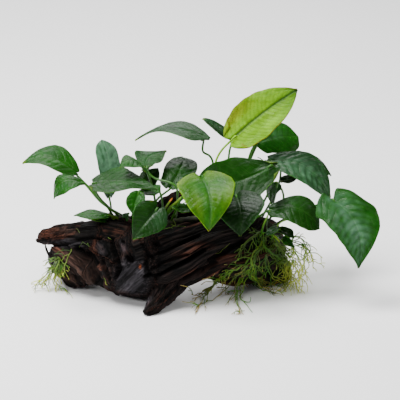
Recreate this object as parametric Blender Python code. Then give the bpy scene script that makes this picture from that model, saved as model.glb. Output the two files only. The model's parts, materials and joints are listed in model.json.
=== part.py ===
"""Anubias on driftwood: a dark forked driftwood piece with a broad-leaved water plant grown onto it."""

import math

import bmesh
import bpy
from mathutils import Vector, noise

# Driving dimensions, in millimetres
MM = 0.001
VIEW_TILT = math.radians(20)  # places are noted as seen from the front, this far above the table
DEPTH_SHIFT = -26.8  # moves everything so that the origin is under the middle of the object
GAP = 0.3  # between pieces that touch

BLADE_THICKNESS = 0.9
BLADE_LEAST_HALF_WIDTH = 0.8
STEM_RADIUS_LOW = 1.5
STEM_RADIUS_HIGH = 1.05
STEM_SIDES = 5
STEM_RINGS = 4
RHIZOME_RADIUS = 4.2
RHIZOME_SIDES = 7
ROOT_CLEARANCE = 0.4  # between the lowest root tips and the table


def seen(across, up, away):
    """The place of a point that shows this far across and up in the front view, and this far back."""
    height = (up - away * math.sin(VIEW_TILT)) / math.cos(VIEW_TILT)
    return Vector((across, away, height))


# The main log, from its thin far left end to its broken right end:
# its path as (across, back, height) with its half-width and half-height there
LOG = (
    ((-154, 49, 20), (3, 3)),
    ((-151, 49, 21), (8, 10)),
    ((-146, 48, 22), (15, 17)),
    ((-138, 47, 24), (24, 30)),
    ((-124, 40, 30), (28, 32)),
    ((-110, 31, 37), (30, 32)),
    ((-97, 22, 40), (32, 34)),
    ((-84, 12, 41), (33, 36)),
    ((-68, 2, 40), (33, 35)),
    ((-50, -5, 40), (32, 35)),
    ((-30, -3, 44), (31, 34)),
    ((-8, 5, 47), (29, 31)),
    ((14, 15, 47), (28, 29)),
    ((34, 26, 41), (30, 32)),
    ((50, 36, 38), (30, 33)),
    ((58, 42, 36), (29, 32)),
    ((64, 46, 26), (27, 28)),
    ((74, 49, 20), (25, 24)),
    ((84, 50, 19), (18, 19)),
    ((89, 50, 21), (9, 9)),
)
LEFT_FORK, RIGHT_FORK = 5.4 / 19, 9.6 / 19  # shares of the log where its limbs leave the trunk
LEFT_SIDES, RIGHT_SIDES = 26, 22
FRONT_DENSITY = 0.35  # how much closer together the log's faces are on its front
LOG_SEED = 0.4
GRAIN_TURN = 2.3  # radians that the grain winds round the right limb
FRONT_FOOT = (
    ((-14, 2, 40), (16, 20)),
    ((-28, -14, 27), (16, 17)),
    ((-40, -30, 13), (10, 11)),
    ((-49, -42, 5), (6, 7.5)),
    ((-55, -47, 2), (3, 3.5)),
)
BACK_BRANCH = (
    ((-58, 14, 62), (13, 12)),
    ((-48, 22, 78), (9, 9)),
    ((-36, 31, 88), (7, 7)),
    ((-24, 39, 94), (6, 6)),
    ((-12, 46, 97), (3, 3)),
)
# The ledge over the left end and a low spur behind: middle as (across, up, away), half-depth and half-height
LEDGE = (
    ((-163, 60, 42), (5, 4.5)),
    ((-157, 61.5, 41), (9, 7)),
    ((-148, 63.5, 39), (11, 8)),
    ((-136, 65.5, 37), (12, 8)),
    ((-122, 68, 33), (13, 8)),
    ((-114, 69, 31), (10, 6)),
)
BACK_SPUR = (
    ((-44, 80, 24), (9, 9)),
    ((-28, 85, 30), (6, 5.5)),
    ((-10, 87, 36), (5, 4.5)),
    ((8, 89, 40), (4, 3)),
)
# Clefts, pits and plates on the front of the log: line as (across, up) seen, half-width and height
CLEFTS = (
    (((-124, 50), (-117, 44), (-110, 35), (-105, 26), (-101, 16)), 5.5, -8),
    (((-88, 59), (-86, 50), (-83, 41), (-81, 30), (-84, 22)), 5, -5),
    (((-71, 43), (-69, 39)), 5.5, -6),
    (((-150, 53), (-136, 55), (-122, 59), (-108, 62), (-98, 60)), 4.5, -4),
    (((-148, 44), (-136, 38), (-124, 30), (-112, 20)), 9, 2.5),
    (((-142, 24), (-128, 22), (-116, 20)), 4.5, -4),
    (((-52, 44), (-54, 34), (-50, 22)), 4.5, -4),
    (((-56, 22), (-38.7, 24.3), (-18.4, 34.4), (5, 49.2)), 4.5, -5),
    (((10.4, 38.3), (23.6, 47), (31.4, 52.3), (44, 58)), 5, -6),
    (((-31, 11), (-12.2, 22.7), (4, 30.5), (15.8, 36.7)), 4.5, -4.5),
)
LEFT_RHIZOME = ((-106, 38, 70), (-92, 36, 72), (-76, 32, 73), (-60, 24, 75))
MAIN_RHIZOME = (
    (-56, 8, 75), (-30, 14, 76), (0, 24, 76), (26, 34, 75), (46, 40, 73), (62, 42, 68), (78, 32, 59),
)

# Leaves: base, tip and the two edges where the blade is broadest, as (across, up, away) seen from the front;
# fold lifts the margins, lobe is how far the heart lobes reach back, taper is higher for a blunter blade,
# start is the width at the base against the greatest, where an edge's own is given as first_ or second_start,
# root is the place across where the stem leaves its rhizome, via are points that the stem bends through
LEAVES = {
    "far_left": dict(
        base=(-127, 127, 36), tip=(-179, 136, 44), edges=((-145, 155, 60), (-147, 131, 24)),
        broad=0.40, taper=1.7, fold=0.10, lobe=0.10, start=0.62, root=("left", -86), via=((-97, 96, 32),),
    ),
    "far_left_low": dict(
        base=(-117, 116, -7), tip=(-146, 101, -13), edges=((-139, 125, 7), (-136, 105, -27)),
        broad=0.45, taper=2.2, fold=-0.16, lobe=0.06, second_start=0.15, start=0.48,
        root=("left", -74), via=((-98, 96, -5),),
    ),
    "left_upright": dict(
        base=(-92, 106, 42), tip=(-99, 160, 58), edges=((-104, 141, 46), (-80, 133, 52)),
        broad=0.55, taper=3.4, fold=-0.12, lobe=0.10, start=0.50, root=("left", -92), via=((-90, 92, 38),),
    ),
    "left_broad": dict(
        base=(-107, 116, 19), tip=(-43, 110, -2), edges=((-86, 133, 38), (-84, 106, -10)),
        broad=0.36, taper=1.0, fold=0.08, lobe=0.05, root=("left", -80), via=((-100, 100, 24),),
    ),
    "left_short": dict(
        base=(-60, 108, 14), tip=(-40, 108, 4), edges=((-49, 114, 18), (-47, 104, -2)),
        broad=0.70, taper=4.0, fold=0.10, lobe=0.04, root=("left", -63), via=((-61, 98, 20),),
    ),
    "left_arched": dict(
        base=(-54, 129, 24), tip=(-80, 132, 14), edges=((-79, 145, 36), (-76, 134, 8)),
        broad=0.50, taper=2.2, fold=-0.10, lobe=0.05, root=("main", -42), via=((-47, 108, 24),),
    ),
    "left_folded": dict(
        base=(-53, 132, 36), tip=(-34, 149, 66), edges=((-70, 143, 56), (-40, 139, 46)),
        broad=0.55, taper=1.3, fold=0.12, lobe=0.05, root=("main", -23), via=((-24, 112, 20), (-46, 121, 30)),
    ),
    "left_back": dict(
        base=(-52, 113, 34), tip=(-42, 131, 52), edges=((-63, 121, 44), (-42, 120, 44)),
        broad=0.50, taper=2.4, fold=0.10, lobe=0.04, root=("main", -36), via=((-40, 106, 20),),
    ),
    "left_hanging": dict(
        base=(-61, 107, -4), tip=(-67, 85, -14), edges=((-74, 98, -10), (-55, 97, -12)),
        broad=0.45, taper=2.4, fold=0.10, lobe=0.06, root=("left", -69), via=((-66, 92, 4),),
    ),
    "front_left": dict(
        base=(-43, 90, -14), tip=(-67, 60, -32), edges=((-70, 86, -26), (-28, 80, -24)),
        broad=0.30, taper=1.5, fold=0.14, lobe=0.15, start=0.86, root=("main", -55), via=(),
    ),
    "middle_round": dict(
        base=(-30, 112, 40), tip=(-17, 143, 98), edges=((-36, 132, 60), (-2, 132, 64)),
        broad=0.42, taper=2.8, fold=-0.08, lobe=0.06, root=("main", -47), via=((-44, 98, 16),),
    ),
    "front_lime": dict(
        base=(1, 122, -10), tip=(9, 68, -50), edges=((-22, 111, -28), (34, 113, -30)),
        broad=0.22, taper=1.6, fold=0.12, lobe=0.09, start=0.86, root=("main", -30), via=((-17, 103, 2),),
    ),
    "top_arching": dict(
        base=(2, 161, 56), tip=(-66, 160, 70), edges=((-12, 161.5, 42), (-12, 176.5, 84)),
        broad=0.20, taper=1.15, fold=0.02, lobe=0.12, first_start=0.55, start=0.85,
        root=("main", 16), via=((13, 137, 50), (3, 148, 52)),
    ),
    "top_edge_on": dict(
        base=(32, 161, 68), tip=(3, 182, 82), edges=((16, 168.5, 64), (19, 178, 86)),
        broad=0.45, taper=2.0, fold=0.10, lobe=0.06, start=0.55, root=("main", 28), via=((29, 141, 56),),
    ),
    "top_yellow": dict(
        base=(33, 161, 46), tip=(98, 210, 62), edges=((45, 201, 68), (68, 164, 44)),
        broad=0.36, taper=2.6, fold=0.10, lobe=0.08, start=0.80, root=("main", 8), via=((16, 138, 42),),
    ),
    "top_right": dict(
        base=(58, 157, 72), tip=(100, 164, 94), edges=((86, 179, 104), (83, 147, 68)),
        broad=0.58, taper=4.0, fold=-0.08, lobe=0.05, root=("main", 38), via=((49, 139, 66),),
    ),
    "middle_dark": dict(
        base=(72, 133, 25), tip=(-6, 110, 1), edges=((31, 142, 39), (50, 97, 9)),
        broad=0.46, taper=2.8, fold=0.08, lobe=0.08, first_start=0.15, start=0.56,
        root=("main", 50), via=((64, 112, 32),),
    ),
    "front_right": dict(
        base=(36, 103, -2), tip=(40, 63, -32), edges=((14, 88, -20), (64, 99, -18)),
        broad=0.30, taper=1.7, fold=0.10, lobe=0.12, start=0.84, root=("main", 23), via=((33, 88, 2),),
    ),
    "right_grey": dict(
        base=(70, 139, 50), tip=(131, 101, 32), edges=((102, 152, 68), (92, 123, 28)),
        broad=0.44, taper=2.6, fold=-0.06, lobe=0.06, second_start=0.38, start=0.62,
        root=("main", 56), via=((71, 112, 56),),
    ),
    "right_rim": dict(
        base=(85, 143, 84), tip=(134, 124, 80), edges=((110, 148, 102), (106, 134, 64)),
        broad=0.45, taper=2.2, fold=-0.06, lobe=0.08, root=("main", 62), via=((80, 114, 70),),
    ),
    "right_low": dict(
        base=(70, 89, 8), tip=(120, 71, 0), edges=((98, 105, 20), (94, 76, -12)),
        broad=0.55, taper=3.2, fold=-0.06, lobe=0.05, start=0.52, root=("main", 44), via=((57, 82, 18),),
    ),
    "far_right": dict(
        base=(133, 99, 0), tip=(158, 31, -32), edges=((126, 77, -22), (180, 79, -12)),
        broad=0.30, taper=1.8, fold=0.08, lobe=0.14, start=0.97,
        root=("main", 73), via=((99, 87, 28), (121, 95, 18)),
    ),
    "right_edge_on": dict(
        base=(79, 115, 12), tip=(72, 95, -2), edges=((65, 104, -4), (77, 105, 16)),
        broad=0.45, taper=2.2, fold=0.10, lobe=0.04, root=("main", 68), via=((84, 100, 28),),
    ),
    "right_sprout": dict(
        base=(79, 70, 4), tip=(94, 61, -2), edges=((90, 71, 10), (86, 63, -4)),
        broad=0.50, taper=2.2, fold=0.08, lobe=0.04, root=("main", 79), via=(),
    ),
    "left_small": dict(
        base=(-92, 84, 22), tip=(-127, 84, 20), edges=((-106, 89, 32), (-104, 80, 8)),
        broad=0.42, taper=2.0, fold=-0.08, lobe=0.05, root=("left", -98), via=(),
    ),
}
SMALL_LEAVES = ("left_short", "left_hanging", "left_back", "right_edge_on", "right_sprout", "left_small")
USUAL_START = 0.74  # a blade's width at its base against its greatest width

# Roots: the curtain of the tangle and the tuft as seen, each with half-width and half-thickness,
# and the bundles that reach out from the curtain, each with its half-thickness along the way
ROOT_CURTAIN = (
    ((70, 66, 22), (14, 6)),
    ((73, 48, 6), (20, 6)),
    ((78, 28, 4), (20, 6)),
    ((84, 12, 8), (14, 5)),
)
ROOT_BUNDLES = (
    (((60, 60, 12), (46, 38, -2), (26, 17, -14), (8, 1, -30), (-4, -13, -42)), (7, 7, 5, 3, 1.6)),
    (((62, 50, 8), (50, 24, -4), (40, 3, -20), (38, -13, -42)), (7, 6, 4, 1.6)),
    (((80, 34, 6), (92, 17, 4), (96, 1, -2)), (9, 7, 2.5)),
    (((78, 58, 12), (98, 58, 10), (109, 46, 8), (113, 37, 6), (128, 37, 4)), (4, 3, 3, 2.4, 1.2)),
    (((84, 44, 10), (101, 32, 8), (100, 12, 2)), (5, 4, 2)),
)
ROOT_TUFT = (
    ((-144, 40, 14), (4, 3)),
    ((-148, 30, 14), (8, 3)),
    ((-153, 20, 18), (12, 3)),
    ((-157, 11, 24), (11, 2)),
)

COLOURS = {
    "wood": (0.020, 0.012, 0.009),
    "dark leaf": (0.014, 0.105, 0.018),
    "bright leaf": (0.045, 0.220, 0.012),
    "lime leaf": (0.190, 0.360, 0.020),
    "yellow leaf": (0.420, 0.560, 0.030),
    "stem": (0.030, 0.120, 0.015),
    "rhizome": (0.060, 0.110, 0.025),
    "root": (0.180, 0.260, 0.050),
}
LEAF_KINDS = {
    "far_left": "bright leaf", "far_left_low": "bright leaf", "left_hanging": "bright leaf",
    "left_short": "bright leaf", "left_small": "bright leaf", "top_right": "bright leaf",
    "right_low": "bright leaf", "far_right": "bright leaf",
    "front_lime": "lime leaf", "top_yellow": "yellow leaf",
}


def material(name):
    """A plain finish for one kind of surface."""
    made = bpy.data.materials.get(name)
    if made:
        return made
    made = bpy.data.materials.new(name)
    made.use_nodes = True
    shader = made.node_tree.nodes["Principled BSDF"]
    shader.inputs["Base Color"].default_value = (*COLOURS[name], 1)
    shader.inputs["Roughness"].default_value = 0.75 if name == "wood" else 0.35
    shader.inputs["Metallic"].default_value = 0.0
    return made


def named_object(name, body, material_name):
    """Turns a bmesh in millimetres into a named object in metres."""
    bmesh.ops.recalc_face_normals(body, faces=body.faces)
    for vert in body.verts:
        vert.co = (vert.co + Vector((0, DEPTH_SHIFT, 0))) * MM
    mesh = bpy.data.meshes.new(name)
    body.to_mesh(mesh)
    body.free()
    mesh.materials.append(material(material_name))
    mesh.shade_smooth()
    made = bpy.data.objects.new(name, mesh)
    bpy.context.collection.objects.link(made)
    return made


def along(values, share):
    """A smooth value a given share of the way along a list of vectors (Catmull-Rom)."""
    place = share * (len(values) - 1)
    first = min(int(place), len(values) - 2)
    rest = place - first
    before, start, end, after = (
        Vector(values[min(max(first + step, 0), len(values) - 1)]) for step in (-1, 0, 1, 2)
    )
    return 0.5 * (
        2 * start
        + (end - before) * rest
        + (2 * before - 5 * start + 4 * end - after) * rest ** 2
        + (3 * start - before - 3 * end + after) * rest ** 3
    )


def frame_at(points, share):
    """The middle of a path with its sideways, upward and forward directions there."""
    step = 0.01
    forward = (along(points, min(share + step, 1)) - along(points, max(share - step, 0))).normalized()
    upright = Vector((0, 0, 1)) if abs(forward.z) < 0.93 else Vector((0, 1, 0))
    side = forward.cross(upright).normalized()
    return along(points, share), side, side.cross(forward), forward


def rolled_tube(sides, rings, place):
    """A closed tube: a grid rolled up by place(share along, angle), with both ends filled."""
    tube = bmesh.new()
    bmesh.ops.create_grid(tube, x_segments=rings, y_segments=sides, size=0.5)
    for vert in tube.verts:
        vert.co = place(vert.co.x + 0.5, (vert.co.y + 0.5) * math.tau)
    bmesh.ops.remove_doubles(tube, verts=tube.verts, dist=0.001)
    bmesh.ops.holes_fill(tube, edges=tube.edges, sides=0)
    ends = [face for face in tube.faces if len(face.verts) > 4]
    bmesh.ops.poke(tube, faces=ends)
    bmesh.ops.triangulate(tube, faces=tube.faces, quad_method="FIXED")
    return tube


def thin_tube(points, sides, rings, reach):
    """A closed tube round a path that bends without a twist, with reach(share, angle) as its radius."""
    frames = []
    side = frame_at(points, 0)[1]
    for ring in range(rings + 1):
        middle, _, _, forward = frame_at(points, ring / rings)
        side = (side - forward * side.dot(forward)).normalized()
        frames.append((middle, side, side.cross(forward)))

    def place(share, angle):
        middle, side, upward = frames[round(share * rings)]
        spot = middle + (side * math.cos(angle) + upward * math.sin(angle)) * reach(share, angle)
        spot.z = max(spot.z, ROOT_CLEARANCE)
        return spot

    return rolled_tube(sides, rings, place)


def bark(share, angle, seed):
    """How far the wood stands in or out: ridges that wind with the grain, and lumps between them."""
    turned = angle - GRAIN_TURN * max(share - RIGHT_FORK, 0) / (1 - RIGHT_FORK)
    drift = noise.noise(Vector((share * 5, seed, 0.3)))
    ridges = 0.5 - abs(math.sin(3 * turned + drift))
    fine = 0.5 - abs(math.sin(5 * turned - 1.7 * drift + 2.1 * seed))
    lumps = noise.noise(Vector((math.cos(angle) * 1.3, math.sin(angle) * 1.3, share * 8 + seed * 7)))
    return 1 + 0.08 * ridges + 0.05 * fine + 0.11 * lumps


def to_line(across, up, points):
    """Distance from a point as seen to a line of points."""
    best = 1000
    for first, second in zip(points, points[1:]):
        run, rise = second[0] - first[0], second[1] - first[1]
        share = ((across - first[0]) * run + (up - first[1]) * rise) / (run * run + rise * rise)
        share = min(max(share, 0), 1)
        best = min(best, math.hypot(across - first[0] - share * run, up - first[1] - share * rise))
    return best


def weathering(spot, share, angle):
    """How far clefts and plates move the log's surface at a point, and the broad ridges where it has none."""
    up = spot.z * math.cos(VIEW_TILT) + spot.y * math.sin(VIEW_TILT)
    facing = min(max((math.cos(angle - 0.35) - 0.1) / 0.35, 0), 1)
    height = 0
    for line, width, rise in CLEFTS:
        distance = to_line(spot.x, up, line)
        if distance < width:
            height += rise * (1 - (distance / width) ** 2)
    turned = angle - GRAIN_TURN * max(share - RIGHT_FORK, 0) / (1 - RIGHT_FORK)
    grain = Vector((share * 3 + 3, 2.55 * math.cos(turned), 2.55 * math.sin(turned)))
    plain = 1 - facing * min(max((-42 - spot.x) / 14, 0), 1)
    return height * facing + 2 * noise.noise(grain) * plain


def limb(stations, sides, rings, seed, start=0, end=1, grow=0):
    """A stretch of wood round its path, with its ridges; what would go below the table is flat on it."""
    points = [place for place, _ in stations]
    sizes = [(*size, 0) for _, size in stations]

    def place(local, angle):
        share = start + (end - start) * local
        middle, side, upward, forward = frame_at(points, share)
        if stations is LOG:
            angle -= FRONT_DENSITY * math.sin(angle - 0.35)
        if local < 1e-6 and start > 0:
            middle += forward * (GAP / 2 - grow)
        if local > 1 - 1e-6 and end < 1:
            middle -= forward * (GAP / 2 - grow)
        wide, high, _ = along(sizes, share)
        relief = bark(share, angle, seed)
        across = side * (math.cos(angle) * (wide * relief + grow))
        spot = middle + across + upward * (math.sin(angle) * (high * relief + grow))
        if stations is LOG:
            outward = side * (math.cos(angle) / wide) + upward * (math.sin(angle) / high)
            spot += outward.normalized() * (weathering(spot, share, angle) * min(1, wide / 11))
        spot.z = max(spot.z, -grow)
        return spot

    return rolled_tube(sides, rings, place)


def settled(target):
    """Applies a piece's modifiers and drops crumbs that a cut left loose."""
    depsgraph = bpy.context.evaluated_depsgraph_get()
    mesh = bpy.data.meshes.new_from_object(target.evaluated_get(depsgraph))
    target.modifiers.clear()
    target.data = mesh
    body = bmesh.new()
    body.from_mesh(mesh)
    islands = []
    left = set(body.verts)
    while left:
        island = set()
        front = [left.pop()]
        while front:
            vert = front.pop()
            island.add(vert)
            for edge in vert.link_edges:
                other = edge.other_vert(vert)
                if other in left:
                    left.discard(other)
                    front.append(other)
        islands.append(island)
    keep = max(islands, key=len)
    bmesh.ops.delete(body, geom=[vert for vert in body.verts if vert not in keep], context="VERTS")
    bmesh.ops.triangulate(body, faces=body.faces)
    body.to_mesh(mesh)
    body.free()


def carve(target, cutters):
    """Takes the cutters out of a piece and keeps its largest remaining body."""
    for cutter in cutters:
        cut = target.modifiers.new("seat", "BOOLEAN")
        cut.operation = "DIFFERENCE"
        cut.solver = "MANIFOLD"
        cut.object = cutter
    settled(target)


def join(target, others):
    """Makes the pieces one body with the first."""
    for other in others:
        union = target.modifiers.new("join", "BOOLEAN")
        union.operation = "UNION"
        union.solver = "MANIFOLD"
        union.object = other
    settled(target)
    for other in others:
        bpy.data.objects.remove(other)


def as_placed(stations):
    """Stations noted as seen from the front, at their real places."""
    return tuple((seen(*place), size) for place, size in stations)


def driftwood():
    """The log in its three stretches, with the foot and back branch seated on it; gives back the cutters."""
    cutters = []
    for name, sides, rings, start, end in (
        ("driftwood_left_limb", LEFT_SIDES, 14, 0, LEFT_FORK),
        ("driftwood_trunk", LEFT_SIDES, 14, LEFT_FORK, RIGHT_FORK),
        ("driftwood_right_limb", RIGHT_SIDES, 17, RIGHT_FORK, 1),
    ):
        named_object(name, limb(LOG, sides, rings, LOG_SEED, start, end), "wood")
        seat = limb(LOG, sides, rings, LOG_SEED, start, end, grow=2 * GAP)
        cutters.append(named_object(name + "_seat", seat, "wood"))
    ledge = named_object("ledge", limb(as_placed(LEDGE), 10, 7, 7.7), "wood")
    carve(ledge, cutters[1:2])
    join(bpy.data.objects["driftwood_left_limb"], [ledge])
    for name, stations, sides, rings, seed in (
        ("driftwood_front_foot", FRONT_FOOT, 12, 8, 4.6),
        ("driftwood_back_branch", BACK_BRANCH, 8, 9, 5.2),
    ):
        named_object(name, limb(stations, sides, rings, seed), "wood")
        cutters.append(named_object(name + "_seat", limb(stations, sides, rings, seed, grow=GAP), "wood"))
    spur = as_placed(BACK_SPUR)
    join(bpy.data.objects["driftwood_back_branch"], [named_object("spur", limb(spur, 7, 6, 6.1), "wood")])
    join(cutters[-1], [named_object("spur_seat", limb(spur, 7, 6, 6.1, grow=GAP), "wood")])
    for name in ("driftwood_front_foot", "driftwood_back_branch"):
        carve(bpy.data.objects[name], cutters[:3])
    return cutters


def rhizome(name, points, cutters, seed):
    """A knobbly creeping stem that lies on the wood."""
    def reach(share, angle):
        taper = 1 - 0.35 * abs(2 * share - 1) ** 3
        return RHIZOME_RADIUS * taper * (1 + 0.14 * math.sin(share * 40 + seed))

    carve(named_object(name, thin_tube(points, RHIZOME_SIDES, 9, reach), "rhizome"), cutters)


def blade_frame(shape):
    """What places a blade: base, direction, length, half-width, sideways, normal and bow."""
    base, tip = seen(*shape["base"]), seen(*shape["tip"])
    first, second = (seen(*edge) for edge in shape["edges"])
    length = (tip - base).length
    direction = (tip - base) / length
    side = (second - first) / 2
    side -= direction * side.dot(direction)
    half = side.length
    side /= half
    normal = side.cross(direction)
    if normal.dot(Vector((0, -0.5, 1))) < 0:
        normal = -normal
    bow = (first + second) / 2 - (base + direction * (length * shape["broad"]))
    bow -= direction * bow.dot(direction)
    return base, direction, length, half, side, normal, bow


def outline(shape, across, share, least):
    """Half-width of a blade a share of the way up it, against its greatest half-width."""
    start = shape.get("start", USUAL_START)
    start = shape.get("first_start" if across < 0 else "second_start", start)
    broad = shape["broad"]
    if share < broad:
        return start + (1 - start) * math.sin(math.pi / 2 * share / broad)
    return max(1 - ((share - broad) / (1 - broad)) ** shape["taper"], least)


def blade_point(shape, frame, across, share):
    """A point of a blade: across from -1 to 1, share from base to tip."""
    base, direction, length, half, side, normal, bow = frame
    broad = shape["broad"]
    width = outline(shape, across, share, BLADE_LEAST_HALF_WIDTH / half)
    bowed = share * (1 - share) / (broad * (1 - broad))
    back = shape["lobe"] * length * math.sin(math.pi * abs(across) ** 1.1) * (1 - share) ** 4
    lift = shape["fold"] * half * (abs(across) * width - bowed)
    place = base + direction * (length * share - back) + bow * bowed
    return place + side * (half * width * across) + normal * lift


def leaf(name, shape):
    """One blade: a grid laid over its outline, then given its thickness."""
    frame = blade_frame(shape)
    blade = bmesh.new()
    bmesh.ops.create_grid(blade, x_segments=4, y_segments=5 if name in SMALL_LEAVES else 7, size=0.5)
    for vert in blade.verts:
        vert.co = blade_point(shape, frame, vert.co.x * 2, vert.co.y + 0.5)
    piece = named_object("leaf_" + name, blade, LEAF_KINDS.get(name, "dark leaf"))
    wall = piece.modifiers.new("thickness", "SOLIDIFY")
    wall.thickness = BLADE_THICKNESS * MM
    wall.offset = 0


def nearest_on(points, across):
    """The place of a rhizome's middle at a given place across."""
    shares = [step / 60 for step in range(61)]
    return min((along(points, share) for share in shares), key=lambda spot: abs(spot.x - across))


def stem_path(shape):
    """The middle line of a stem, from the rhizome's skin to just under the blade's base."""
    base, direction, _, _, _, normal, _ = blade_frame(shape)
    rhizome_name, across = shape["root"]
    root = nearest_on(LEFT_RHIZOME if rhizome_name == "left" else MAIN_RHIZOME, across)
    under = base - normal * (STEM_RADIUS_HIGH + BLADE_THICKNESS / 2 + 0.5) - direction * 1.2
    turns = [seen(*place) for place in shape["via"]]
    toward = ((turns + [under])[0] - root).normalized()
    toward.z = max(toward.z, 0.9)
    start = root + toward.normalized() * (RHIZOME_RADIUS * 1.14 + GAP + 0.9)
    return [start] + turns + [under]


def stem(name, shape):
    """One petiole: a thin tube that tapers towards its blade."""
    def reach(share, angle):
        return STEM_RADIUS_LOW + (STEM_RADIUS_HIGH - STEM_RADIUS_LOW) * share

    named_object("stem_" + name, thin_tube(stem_path(shape), STEM_SIDES, STEM_RINGS, reach), "stem")


def root_bundle(name, places, thicknesses):
    """A tapering bundle of roots."""
    points = [seen(*place) for place in places]
    sizes = [(size, 0, 0) for size in thicknesses]

    def reach(share, angle):
        return along(sizes, share).x * (1 + 0.12 * math.sin(2 * angle + 9 * share))

    return named_object(name, thin_tube(points, 5, 2 * len(places), reach), "root")


def root_curtain(name, stations):
    """A hanging mass of roots, wide and thin."""
    points = [seen(*place) for place, _ in stations]
    sizes = [(*size, 0) for _, size in stations]

    def place(share, angle):
        wide, thick, _ = along(sizes, share)
        relief = 1 + 0.12 * math.sin(4 * angle + 11 * share)
        spot = along(points, share) + Vector((math.cos(angle) * wide, math.sin(angle) * thick, 0)) * relief
        spot.z = max(spot.z, ROOT_CLEARANCE)
        return spot

    return named_object(name, rolled_tube(10, 7, place), "root")


def roots(cutters):
    """The tangle over the right end and the tuft at the left end, each fused into one body."""
    tangle = root_curtain("root_tangle", ROOT_CURTAIN)
    join(tangle, [root_bundle(f"bundle_{number}", *bundle) for number, bundle in enumerate(ROOT_BUNDLES)])
    carve(tangle, cutters)
    carve(root_curtain("root_tuft", ROOT_TUFT), cutters)


def main():
    for old in list(bpy.data.objects):
        bpy.data.objects.remove(old)
    cutters = driftwood()
    rhizome("rhizome_left", LEFT_RHIZOME, cutters, 0.6)
    rhizome("rhizome_main", MAIN_RHIZOME, cutters, 2.4)
    for name, shape in LEAVES.items():
        leaf(name, shape)
        stem(name, shape)
    roots(cutters)
    for cutter in cutters:
        bpy.data.objects.remove(cutter)


main()
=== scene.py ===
"""The look of an Anubias plant that has grown onto a dark, forked piece of driftwood.

Places are in millimetres in the part's own frame before SHIFT, which puts the origin under the middle.
"""

import json
import math
import random

import bmesh
import bpy
from bpy.props import FloatProperty, FloatVectorProperty, IntProperty, PointerProperty
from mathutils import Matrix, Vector, noise
from mathutils.bvhtree import BVHTree

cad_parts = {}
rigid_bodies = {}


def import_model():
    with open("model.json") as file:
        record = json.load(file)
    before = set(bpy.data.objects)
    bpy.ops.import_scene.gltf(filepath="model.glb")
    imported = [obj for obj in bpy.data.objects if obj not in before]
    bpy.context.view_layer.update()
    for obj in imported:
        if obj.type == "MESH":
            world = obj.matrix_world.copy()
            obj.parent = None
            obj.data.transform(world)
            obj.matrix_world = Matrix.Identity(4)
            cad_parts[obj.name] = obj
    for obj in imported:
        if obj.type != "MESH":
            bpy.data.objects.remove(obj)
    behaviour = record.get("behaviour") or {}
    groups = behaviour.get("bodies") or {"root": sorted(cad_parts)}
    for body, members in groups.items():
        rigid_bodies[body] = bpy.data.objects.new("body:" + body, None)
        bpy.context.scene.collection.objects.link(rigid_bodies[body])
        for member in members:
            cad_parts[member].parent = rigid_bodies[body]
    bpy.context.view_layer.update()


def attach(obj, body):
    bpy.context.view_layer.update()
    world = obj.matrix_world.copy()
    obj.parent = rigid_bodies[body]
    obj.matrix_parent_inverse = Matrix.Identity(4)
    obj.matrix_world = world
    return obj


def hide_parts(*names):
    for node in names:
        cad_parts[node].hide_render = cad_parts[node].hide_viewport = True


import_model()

bl_info = {
    "name": "Anubias on driftwood",
    "version": (1, 0, 0),
    "blender": (4, 5, 0),
    "location": "View3D > Sidebar > Anubias",
    "description": "Builds a broad-leaved water plant on a dark piece of driftwood",
    "category": "Object",
}

MM = 0.001
VIEW_TILT = math.radians(20)
SHIFT = Vector((0, -26.8, 0))
VIEW_LINE = Vector((0, math.cos(VIEW_TILT), -math.sin(VIEW_TILT)))


def seen(across, up, away):
    """The place of a point that shows this far across and up in the front view, and this far back."""
    height = (up - away * math.sin(VIEW_TILT)) / math.cos(VIEW_TILT)
    return Vector((across, away, height))


def shown_up(spot):
    """How far up a point shows in the front view."""
    return spot.z * math.cos(VIEW_TILT) + spot.y * math.sin(VIEW_TILT)


# The log, as in the part: (across, back, height) with half-width and half-height
LOG = (
    ((-154, 49, 20), (3, 3)),
    ((-151, 49, 21), (8, 10)),
    ((-146, 48, 22), (15, 17)),
    ((-138, 47, 24), (24, 30)),
    ((-124, 40, 30), (28, 32)),
    ((-110, 31, 37), (30, 32)),
    ((-97, 22, 40), (32, 34)),
    ((-84, 12, 41), (33, 36)),
    ((-68, 2, 40), (33, 35)),
    ((-50, -5, 40), (32, 35)),
    ((-30, -3, 44), (31, 34)),
    ((-8, 5, 47), (29, 31)),
    ((14, 15, 47), (28, 29)),
    ((34, 26, 41), (30, 32)),
    ((50, 36, 38), (30, 33)),
    ((58, 42, 36), (29, 32)),
    ((64, 46, 26), (27, 28)),
    ((74, 49, 20), (25, 24)),
    ((84, 50, 19), (18, 19)),
    ((89, 50, 21), (9, 9)),
)
LEFT_FORK, RIGHT_FORK = 5.4 / 19, 9.6 / 19
LOG_SEED = 0.4
LOG_LENGTH = 300.0
GRAIN_TURN = 2.3
GRAIN_RADIUS = 30
THIN_WOOD = 11  # the half-width below which the grain stands less high
FRONT_ANGLE = 0.35  # where round the log the middle of its front lies, in radians
RINGS_PER_MM = 1.6
FRONT_FOOT = (
    ((-14, 2, 40), (16, 20)),
    ((-28, -14, 27), (16, 17)),
    ((-40, -30, 13), (10, 11)),
    ((-49, -42, 5), (6, 7.5)),
    ((-55, -47, 2), (3, 3.5)),
)
BACK_BRANCH = (
    ((-58, 14, 62), (13, 12)),
    ((-48, 22, 78), (9, 9)),
    ((-36, 31, 88), (7, 7)),
    ((-24, 39, 94), (6, 6)),
    ((-12, 46, 97), (3, 3)),
)
LEFT_RHIZOME = ((-106, 38, 70), (-92, 36, 72), (-76, 32, 73), (-60, 24, 75))
MAIN_RHIZOME = (
    (-56, 8, 75), (-30, 14, 76), (0, 24, 76), (26, 34, 75), (46, 40, 73), (62, 42, 68), (78, 32, 59),
)

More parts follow.
